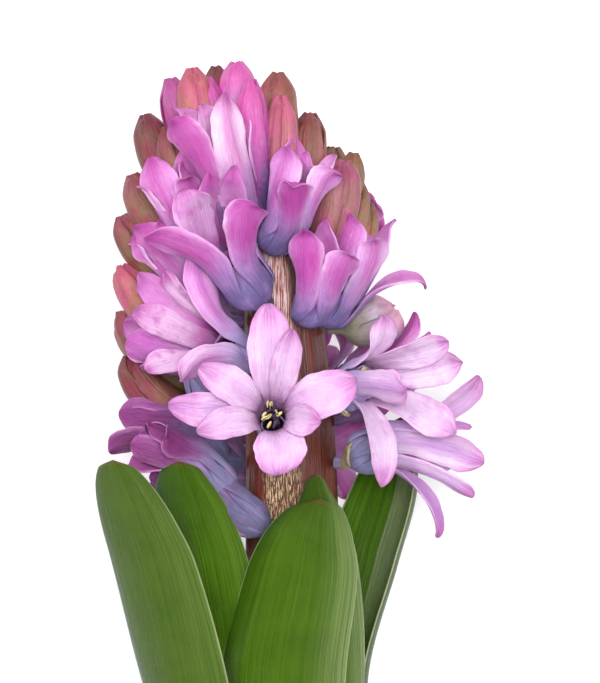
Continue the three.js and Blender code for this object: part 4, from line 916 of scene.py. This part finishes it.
# Florets: petal tint, height of the foot, the mouth's place, facing and radius, and the lobes, each with its
# tip, width, arch, twist and, where the tip alone wouldn't give it, the side of the mouth that it grows on.
# Grows is the side of the stalk, in degrees, where the foot isn't simply on the side of the mouth. Rim is
# how far below the mouth the tube ends. Blush is the warmth of each lobe, and a bract has a tip and a width.
florets = {
    "floret_front": {
        "tint": "lilac", "foot": 13, "mouth": (-3, 20.8, 48), "facing": (0.02, 0.1, 1), "flare": 2.5,
        "rim": 4, "blush": (-0.4, -0.2, -0.1, 0, 0.1, -0.3, 0.2, -0.3),
        "lobes": [((-3.5, 40, 51), 7.6, 3, 4), ((0.3, 35.5, 53), 5, 2, 16),
        ((11.6, 26.6, 50), 8.2, 3.5, -8), ((5.2, 19.6, 54), 5.6, 2.5, 10), ((-1.6, 10.6, 53.5), 9, 3.5, 0),
        ((-15.5, 18, 53.5), 5.6, 2.5, 12), ((-20.4, 22.6, 50), 6.2, 4, -10),
        ((-15, 29, 51), 6.4, 3.5, 14)]},
    "floret_centre": {
        "tint": "bell", "foot": 40, "grows": 108, "mouth": (-10.9, 50, 44.5), "facing": (-0.3, 0.78, 0.5),
        "flare": 4.5, "blush": (0.7, 0.8, -0.1, 0.3, 0.7, 0.3),
        "lobes": [((-24.6, 51.4, 49), 6.6, 0.5, 30, (-0.5, -0.4, 0.8)),
        ((-5.9, 56.9, 51.5), 8.2, 2, -55, (0.75, -0.2, 0.6)),
        ((-17.8, 58.6, 48.5), 7.6, 2.5, -60, (-0.8, 0.2, -0.2)),
        ((-10.2, 62, 51), 5.4, 1, 25, (0.6, 0.4, -0.8)), ((-14, 61, 49.6), 5, 1, -10, (-0.1, 0.4, -0.9)),
        ((-8, 58, 41.5), 6, 1.5, 0, (1, 0.2, -0.3))]},
    "floret_top": {
        "tint": "bell", "foot": 49.4, "grows": 102, "mouth": (0.2, 56.6, 43), "facing": (0.14, 0.86, 0.46),
        "flare": 3.5, "blush": (0, 1.2, -0.2, 0.5, -0.4, 0.6),
        "lobes": [((0, 66.4, 46), 6.6, 0.5, 45, (-0.85, 0, 0.5)),
        ((0.7, 60.6, 52), 6, 1.5, 0, (0.05, 0, 1)), ((8, 62.8, 47.5), 6.6, 1.5, -60, (0.85, 0, 0.5)),
        ((2.6, 64.8, 46), 5.6, 0.5, 0, (0.3, 0, -1)), ((7.8, 65.6, 42.5), 6, 1, 0, (1, 0, -0.4)),
        ((1.8, 68.8, 42), 6.2, 0.5, 0, (-0.6, 0, -0.8))]},
    "floret_middle": {
        "tint": "bell", "foot": 37, "mouth": (4.9, 43.6, 42), "facing": (0.12, 0.88, 0.42), "flare": 3.3,
        "blush": (1.1, 0.6, 0.6, 0.2),
        "lobes": [((2.2, 52.6, 46.5), 6.4, 1, 35, (-0.65, 0, 0.75)),
        ((10.6, 48.6, 47), 6.4, 1.5, -45, (0.7, 0, 0.7)), ((5.6, 54, 43.5), 5.4, 0.8, 0, (0.5, 0, -0.9)),
        ((3.4, 52, 40), 6.4, 1, 0, (-0.7, 0, -0.7))]},
    "floret_upper_left": {
        "tint": "pink", "foot": 52, "mouth": (-11, 64, 44), "facing": (-0.22, 0.9, 0.35), "flare": 4.2,
        "blush": (1, -0.8, 0.1, -0.2, 0.3),
        "lobes": [((-20, 71.2, 49), 7.6, 1, 45, (-0.75, 0, 0.65)),
        ((-10.6, 75.2, 47.5), 5.6, 1, 0, (0.4, 0, 0.9)), ((-18.6, 74, 43.5), 6, 1, 10, (-0.8, 0, -0.5)),
        ((-14.2, 74, 42.5), 5, 1, 0, (-0.2, 0, -1)), ((-8.2, 72.4, 42), 6.4, 1, 0, (0.8, 0, -0.5))]},
    "floret_left": {
        "tint": "orchid", "foot": 29, "mouth": (-13.6, 33.4, 41), "facing": (-0.85, 0.25, 0.45),
        "flare": 3.8, "blush": (0.1, -0.4, 0.5, -0.5, -0.6, -0.7),
        "lobes": [((-16, 49, 41.5), 6, 2, -50, (0.3, 0.6, 0.85)),
        ((-21.2, 45.4, 43.5), 4.2, 2, 30, (0, 1, -0.2)), ((-26, 45.2, 41), 5.4, 1.5, 35, (0, 0.7, -0.8)),
        ((-26.8, 38.6, 43), 5.4, 1, 10, (0, 0, -1)), ((-24.6, 28.2, 44), 5.2, 2, -30, (0, -0.9, -0.5)),
        ((-18, 26.2, 46), 5.8, 1.5, 10, (0.3, -0.4, 1))]},
    "floret_right": {
        "tint": "lilac", "foot": 23, "mouth": (14.5, 26.5, 38), "facing": (0.76, 0, 0.65), "flare": 3.6,
        "rim": 1.4, "blunt": (0.7, 1), "bract": ((9.8, 20.4, 37), 3.6),
        "blush": (-0.3, -1, -1, -0.4, -1, -0.9),
        "lobes": [((15.8, 37.8, 42.5), 6, 2.4, -40, (-0.4, 1, 0.2)),
        ((27.4, 33.2, 41), 6.4, 2, -30, (0.3, 1, -0.4)), ((29.8, 30, 38), 6.8, 1.5, 0, (1, 0.3, -1)),
        ((19.6, 24.6, 47), 6.6, 2.4, 20, (-0.6, -0.2, 0.8)),
        ((28.6, 17.4, 40), 6.6, 2, 30, (0.8, -0.9, -0.6)),
        ((15.8, 8.2, 41), 5.3, 2.4, 50, (-0.2, -1, 0.2))]},
    "floret_low_front": {
        "tint": "dusk", "foot": 0, "grows": 106, "mouth": (-15.2, 8.2, 31), "facing": (-0.85, 0.45, -0.1),
        "flare": 3.5, "bract": ((-1.4, 1.6, 34), 3.4), "blush": (0.2, 0.4, 0.5),
        "lobes": [((-24.4, 10, 33), 5.6, 1, 0, (0, -0.3, 1)), ((-22.8, 15.6, 31), 5.6, 1, 0, (0, 1, 0.4)),
        ((-23.6, 12, 28.5), 5.6, 1, 0)]},
    "floret_low_inner": {
        "tint": "slate", "foot": 6, "mouth": (-19, 14, 35.5), "facing": (-0.9, 0.35, 0.3), "flare": 3.2,
        "bract": ((-11.4, 11.4, 31), 3.4), "blush": (0.6, 1, 1, 0.7),
        "lobes": [((-27.6, 15.6, 38), 5.6, 1, 0, (0, -0.4, 1)),
        ((-24.6, 18.4, 41), 5.6, 1.5, 0, (0, 0.8, 0.6)), ((-21, 17, 43), 5.6, 2, 10),
        ((-28.2, 11.6, 35), 6.4, 1, 0)]},
    "floret_right_tall": {
        "tint": "bell", "foot": 36.5, "grows": 50, "mouth": (10.6, 44.4, 37), "facing": (0.45, 0.82, 0.3),
        "flare": 3.7, "blush": (0.3, -0.3, 0.5, 0.3, 0.3),
        "lobes": [((11, 55.2, 40), 7.4, 1, 10, (-0.6, 0.2, 0.75)),
        ((14.6, 51.4, 43.5), 6.8, 1.5, 0, (0.6, -0.2, 0.75)),
        ((17.2, 54.8, 37), 6.4, 1, 10, (0.9, -0.3, -0.3)),
        ((24.4, 43.8, 36), 4.8, 1.6, 24, (0.8, -0.5, 0.1)), ((13, 53, 31), 6.6, 1, 0)]},
    "floret_left_inner": {
        "tint": "pink", "foot": 45, "mouth": (-17.5, 55, 38.5), "facing": (-0.5, 0.8, 0.2), "flare": 3.8,
        "blush": (0.1, 0.7, 0.5, 0.2),
        "lobes": [((-24.4, 64.6, 41), 7, 1, 40, (-0.6, 0, 0.8)),
        ((-18, 66, 41), 6.8, 1, 30, (0.7, 0, -0.6)), ((-17.6, 62, 45.4), 5, 1, 0, (0.3, 0, 0.9)),
        ((-22, 64, 36), 6, 1, 0)]},
    "floret_low_right": {
        "tint": "lilac", "foot": 12, "mouth": (19, 15.4, 31), "facing": (0.97, 0.02, 0.2), "flare": 3.7,
        "bract": ((9.9, 14.8, 36), 4.4), "blush": (0.2, -1, -0.6, 1, 0),
        "lobes": [((33, 27.4, 32), 5.6, 3, 0, (0, 0.7, -0.7)), ((33.5, 11.8, 35), 6.4, 1.5, 0, (0, 0.3, 1)),
        ((32, 6.2, 32.5), 5, 1, 0, (0, -0.8, 0.6)), ((25.4, -0.8, 34), 4.4, 4, 30),
        ((29, 12, 25), 6, 1, 0)]},
    "floret_left_behind": {
        "tint": "pink", "foot": 37, "mouth": (-20, 48, 33.5), "facing": (-0.65, 0.75, 0.1), "flare": 3.8,
        "blush": (0.6, 0.8, 0.6),
        "lobes": [((-26, 53.8, 36), 6.4, 0.5, 10), ((-26.8, 51.4, 34), 6, 0.5, 60, (-0.5, -0.4, 0.75)),
        ((-24, 55.5, 31.5), 6, 0.5, 0)]},
    "floret_left_under": {
        "tint": "orchid", "foot": 19, "mouth": (-20.5, 32.2, 32.5), "facing": (-0.9, 0.3, 0.2),
        "flare": 3.8, "blush": (0.3, 1, 0.6, 0.4),
        "lobes": [((-29, 37, 31), 6.2, 1, 14), ((-28.4, 33.6, 36), 6.4, 1, 10),
        ((-25.6, 28.6, 34), 6, 1.5, 10), ((-26.4, 43, 34), 6, 1.5, 0)]},
    "floret_low_left": {
        "tint": "dusk", "foot": 12, "mouth": (-21.5, 18.6, 29), "facing": (-0.97, 0.15, 0.1), "flare": 3.4,
        "blush": (0.8, 1, 0.6, 0.6),
        "lobes": [((-30, 21, 31.5), 6.4, 1, 0, (0, 0.3, 1)), ((-31.8, 14.4, 30), 6.4, 1, 0, (0, -0.7, 0.7)),
        ((-28.5, 22, 27), 5.6, 1, 0), ((-29, 17.5, 25), 5.6, 1, 0)]},
    "floret_lowest": {
        "tint": "dusk", "foot": -5, "mouth": (-17, 3, 25), "facing": (-0.85, 0.5, 0.05), "flare": 3.2,
        "lobes": [((-25, 8, 27.5), 5.6, 1, 10), ((-22, 11, 26), 5.6, 1, 0), ((-25, 8, 23), 5.6, 1, 0)]},
    "floret_right_under": {
        "tint": "pink", "foot": 19.5, "mouth": (16.4, 26.4, 25.5), "facing": (0.93, 0.35, 0.05),
        "flare": 3.4,
        "lobes": [((22.4, 38.2, 29.5), 6.6, 1.5, 10), ((25, 34.6, 25.5), 6, 1, 0),
        ((25.5, 28.5, 24), 6, 1, 0), ((22, 24, 25), 6, 1.5, 0)]},
}

# Florets and buds on the side that the photograph doesn't show: each row is a height and turns in degrees.
hidden = {
    "reach": 22.5, "rise": 6, "tilt": 0.3, "flare": 3.5, "length": 10.5, "width": 6.4, "lobes": 6,
    "tint": "pink", "rows": [(8, (238, 284)), (22, (262, 306)), (35, (236, 280)), (47, (258, 300))],
    "budTint": "mauve", "budRow": (53, (232, 268, 304)), "budRise": 18, "budReach": 15, "budRadius": 2.8}


# The same draws as in the solid model, so that the hidden florets' lobes lie where their solids are.
def seededDraw(seed):
    state = seed
    while True:
        state = (state * 1664525 + 1013904223) % 4294967296
        yield state / 4294967296


def hiddenFloret(foot, degrees, draws):
    _, x, z, _ = between(stalk["line"], foot + hidden["rise"])
    away = acrossStalk(degrees)
    facing = Vector((away.x, hidden["tilt"], away.z)).normalized()
    mouth = Vector((x, foot + hidden["rise"], z)) + away * hidden["reach"]
    sideways = Vector((0, 1, 0)).cross(facing).normalized()
    upwards = facing.cross(sideways)
    lobes = []
    for index in range(hidden["lobes"]):
        spin = (index + 0.5 * next(draws)) / hidden["lobes"] * math.tau
        length = hidden["length"] * (0.85 + 0.25 * next(draws))
        tip = mouth + sideways * math.cos(spin) * length + upwards * math.sin(spin) * length
        tip += facing * 1.5 * next(draws)
        lobes.append((tuple(tip), hidden["width"], 3, 20 * next(draws) - 10))
    return {"tint": hidden["tint"], "foot": foot, "mouth": tuple(mouth), "facing": tuple(facing),
            "flare": hidden["flare"], "lobes": lobes}


def buildFloret(name, shape, draw):
    tube, bm = makeTube(shape), newSkin()
    addTube(bm, tube, shape.get("rim", tubeForm["rim"]))
    shut = isShut(tube)
    blushes = dict(zip(shape["lobes"], shape.get("blush", ())))
    for index, (lobe, wallSide, wallHalf) in enumerate(shareRim(tube, shape["lobes"])):
        rows, side = lobePath(tube, lobe, wallSide, wallHalf, lobeForm["lift"][index % 2])
        hook, blush = draw.uniform(*lobeForm["hook"][shut]), draw.uniform(*lobeForm["blush"])
        addLobe(bm, rows, side, draw, hook, lobe[3], shut, blush=blushes.get(lobe, blush),
                blunt=shape.get("blunt"))
    finishPiece(bm, name + "_petals", petals[shape["tint"]], "floret", name)
    if "bract" in shape:
        scale = newSkin()
        addBract(scale, shape["bract"], tube, draw)
        finishPiece(scale, name + "_bract", bractSkin, "leaf")


# Buds: tint, height of the foot, place of the tip and greatest radius.
buds = [
    ("pink", 54, (-6.6, 78.2, 43.5), 2.5), ("salmon", 50, (-1.4, 75.6, 41), 2.9),
    ("russet", 62, (-2, 80, 35), 3.4), ("russet", 57, (3.6, 73, 34), 2.9),
    ("wine", 48, (9.2, 64.6, 38), 3.4), ("tan", 51, (11.2, 66.2, 32), 2.3),
    ("tan", 54, (7.6, 67.4, 28), 2.5), ("tan", 46, (12, 61.2, 31), 2.3),
    ("tan", 43, (13.8, 57.8, 26), 2.3), ("mauve", 35.5, (18.2, 39.2, 29), 4.2),
    ("crimson", 55, (-25.2, 73, 31), 3.4), ("brown", 52, (-21.4, 70.6, 36), 2.9),
    ("violet", 62, (-20.8, 79.2, 32.5), 2.6), ("rose", 61, (-17, 80.6, 37), 3.2),
    ("pink", 60, (-14.6, 79, 36.5), 2.9), ("crimson", 65, (-12.6, 81.4, 31), 2.6),
    ("pink", 66, (-9.2, 81.8, 35), 3.2), ("brown", 48, (-27.6, 62.4, 32), 3.1),
    ("brown", 42, (-29.6, 55.4, 28), 3), ("rose", 33, (-29.8, 46.6, 28.5), 3.1),
    ("brown", 25, (-29.8, 38.8, 25), 3), ("crimson", 18, (-28.4, 31, 27), 3.6),
]
budForm = {
    "bow": 0.75, "seams": 0.03, "round": 36, "along": 30, "tepals": 3, "start": 0.26, "lift": 0.04,
    "step": 0.09, "wrap": 1.16, "sink": 0.4, "thick": 0.2, "hook": 0.55, "free": 0.6, "blunt": (0.3, 0.5)}


def budCurve(height, tipPlace, radius):
    tip = Vector(tipPlace)
    foot, away = footOn(height, tip)
    bow = foot + away * (tip - foot).dot(away) * budForm["bow"]
    stem = pedicel["radius"]
    return {
        "curve": (foot, foot + (bow - foot) * 2 / 3, tip + (bow - tip) * 2 / 3, tip),
        "profile": [[0, stem], [0.16, stem], [0.3, radius * 0.78], [0.5, radius], [0.76, radius],
                    [0.9, radius * 0.82], [0.965, radius * 0.54], [1, radius * 0.16]]}


# One of the three outer tepals that wrap a bud: wide enough to meet its neighbours, hooked at the tip.
def addBudTepal(bm, bud, turn, lift, draw):
    form, steps, rows = budForm, 10, []
    outward = turnedOn(ringFrame(bud["curve"], 0.6), turn)
    for step in range(steps + 1):
        share = blend(form["start"], 1, step / steps)
        point = onWall(bud, share, outward, lift - form["sink"] * (1 - eased(0, 0.35, step / steps)))
        radius = between(bud["profile"], share)[1]
        free = eased(0.3, 1, step / steps) * form["free"]
        addRow(rows, point, radius * form["wrap"], radius + 0.2, share, free)
    side = heading(bud["curve"], 0.6).cross(outward)
    addLobe(bm, rows, side, draw, form["hook"], thick=form["thick"], blunt=form["blunt"])


def buildBud(name, tint, height, tip, radius, draw):
    bud, bm, form, steps = budCurve(height, tip, radius), newSkin(), budForm, budForm["along"]
    frames = [ringFrame(bud["curve"], step / steps) for step in range(steps + 1)]

    def place(around, along):
        step, turn = round(along * steps), around * math.tau
        share, full = step / steps, 0 if step in (0, steps) else 1
        wide = between(bud["profile"], share)[1] * full * (1 + form["seams"] * math.cos(6 * turn))
        point = cubic(bud["curve"], share) + turnedOn(frames[step], turn) * wide
        return point, math.cos(3 * turn), share, 0

    wrapGrid(bm, form["round"], steps, place)
    spin = draw.uniform(0, math.tau / 3)
    for index in range(form["tepals"]):
        turn = spin + index * math.tau / form["tepals"]
        addBudTepal(bm, bud, turn, form["lift"] + form["step"] * index, draw)
    finishPiece(bm, name + "_skin", budSkins[tint], "bud", name)


# Stamens and pistil in the throat of an open floret: long anthers at uneven heights, leaning every way. Each
# anther is given as x, y, turn, length and pollen.
stamenForm = {
    "anther": 0.3, "lift": (0.7, 2), "lean": (0.8, 1.4), "filament": (0.2, 2.4), "filamentFoot": 0.6,
    "pistil": (0.62, 2.4), "furrow": 0.3, "anthers": [
        (-0.65, 1.9, 95, 1.5, 1), (-0.15, 1.8, 80, 1.5, 1), (0.7, 0.7, 120, 1.3, 1),
        (1.25, 0.25, 35, 1.5, 1), (-0.55, -0.2, 40, 1.4, 1), (-1.3, -0.5, 30, 1.5, 1),
        (-1.3, 0.15, 50, 1.2, 1), (-0.45, -1.6, 60, 1.7, 1), (-0.6, 0.75, 20, 1.6, 0.1),
        (0.3, 1.2, 75, 1.7, 0.1), (0.4, -0.5, 100, 1.8, 0.1), (0.5, -1.5, 70, 1.6, 0.4),
        (1, -0.9, 110, 1.5, 0.1)]}


def buildStamens(name, shape, draw, depth, *nodes):
    form, bm = stamenForm, newSkin()
    layer = bm.verts.layers.float["reach"]
    facing = Vector(shape["facing"]).normalized()
    seat = Vector(shape["mouth"]) - facing * depth
    upright = Vector((0, 0, 1)).rotation_difference(facing).to_matrix().to_4x4()

    def addGrain(radius, length, place, tilt, pollen):
        made = bmesh.ops.create_uvsphere(bm, u_segments=14, v_segments=10, radius=radius * mm)["verts"]
        for vert in made:
            furrow = abs(abs(math.atan2(vert.co.y, vert.co.x)) - math.pi / 2) < form["furrow"]
            vert[layer] = pollen * (0.3 if furrow else 1)
        stretch = Matrix.Diagonal((1, 1, length / (2 * radius), 1))
        move = Matrix.Translation(seat * mm) @ upright @ Matrix.Translation(place * mm) @ tilt @ stretch
        bmesh.ops.transform(bm, matrix=move, verts=made)

    for x, y, turn, length, pollen in form["anthers"]:
        lean = Matrix.Rotation(math.radians(turn), 4, "Z")
        lean = lean @ Matrix.Rotation(draw.uniform(*form["lean"]), 4, "Y")
        lean = lean @ Matrix.Rotation(draw.uniform(0, math.pi), 4, "Z")
        addGrain(form["anther"], length, Vector((x, y, draw.uniform(*form["lift"]))), lean, pollen)
        foot = Vector((x * 0.8, y * 0.8, form["filamentFoot"]))
        addGrain(*form["filament"], foot, Matrix.Identity(4), 0)
    addGrain(*form["pistil"], Vector((0, 0, form["filamentFoot"])), Matrix.Identity(4), 0.1)
    finishPiece(bm, name, stamenSkin, "stamens", *nodes)


buildStalk()
for name, leaf in leaves.items():
    buildLeaf(name, *leaf)
print("stalk and leaves built")

draw = random.Random(5)
for name, shape in florets.items():
    buildFloret(name, shape, draw)
print("florets built", len(florets))

draws = seededDraw(11)
hiddenShapes = [hiddenFloret(foot, turn, draws) for foot, turns in hidden["rows"] for turn in turns]
for index, shape in enumerate(hiddenShapes):
    buildFloret("floret_back_%d" % (index + 1), shape, draw)
print("hidden florets built", len(hiddenShapes))

for index, bud in enumerate(buds):
    buildBud("bud_%02d" % (index + 1), *bud, draw)
foot, turns = hidden["budRow"]
_, x, z, _ = between(stalk["line"], foot + hidden["budRise"])
for index, turn in enumerate(turns):
    tip = Vector((x, foot + hidden["budRise"], z)) + acrossStalk(turn) * hidden["budReach"]
    buildBud("bud_back_%d" % (index + 1), hidden["budTint"], foot, tuple(tip), hidden["budRadius"], draw)
print("buds built", len(buds) + len(turns))

draw = random.Random(3)
buildStamens("stamens_front_anthers", florets["floret_front"], draw, 1.9, "stamens_front")
buildStamens("stamens_right_anthers", florets["floret_right"], draw, 3.4)
print("stamens built")

# Floor and light: a pale sheet that glows a little, and soft light from above and all round. Lights are
# given as place and size in metres and power in watts.
studio = {
    "floor": (206, 205, 208), "floorSize": 3, "roughness": 0.9, "glow": 0.46, "glowTint": (1, 0.995, 1, 1),
    "world": (1.0, 0.99, 1.0, 1), "worldStrength": 0.44, "aim": (0, 0.02, 0.02), "lights": {
        "top light": ((0.06, 0.1, 0.95), 0.3, 6.9), "key light": ((-0.55, 0.5, 0.75), 0.5, 6.0),
        "fill light": ((0.6, -0.1, 0.6), 0.5, 1.6)}}


def buildFloor():
    bm = bmesh.new()
    bmesh.ops.create_grid(bm, x_segments=1, y_segments=1, size=studio["floorSize"])
    material = bpy.data.materials.new("floor")
    material.use_nodes = True
    sockets = material.node_tree.nodes["Principled BSDF"].inputs
    sockets["Base Color"].default_value = paint(*studio["floor"])
    sockets["Roughness"].default_value = studio["roughness"]
    sockets["Emission Color"].default_value = studio["glowTint"]
    sockets["Emission Strength"].default_value = studio["glow"]
    floor = meshObject(bm, "floor", material)


def addLight(name, place, size, power):
    data = bpy.data.lights.new(name, "AREA")
    data.shape, data.size, data.energy = "DISK", size, power
    light = addObject(name, data)
    light.location = place
    light.rotation_euler = (Vector(studio["aim"]) - Vector(place)).to_track_quat("-Z", "Y").to_euler()


buildFloor()
for name, light in studio["lights"].items():
    addLight(name, *light)
world = bpy.data.worlds.new("studio")
bpy.context.scene.world = world
world.use_nodes = True
background = world.node_tree.nodes["Background"]
background.inputs["Color"].default_value = studio["world"]
background.inputs["Strength"].default_value = studio["worldStrength"]
bpy.context.scene.view_settings.view_transform = "Standard"

print("finished")
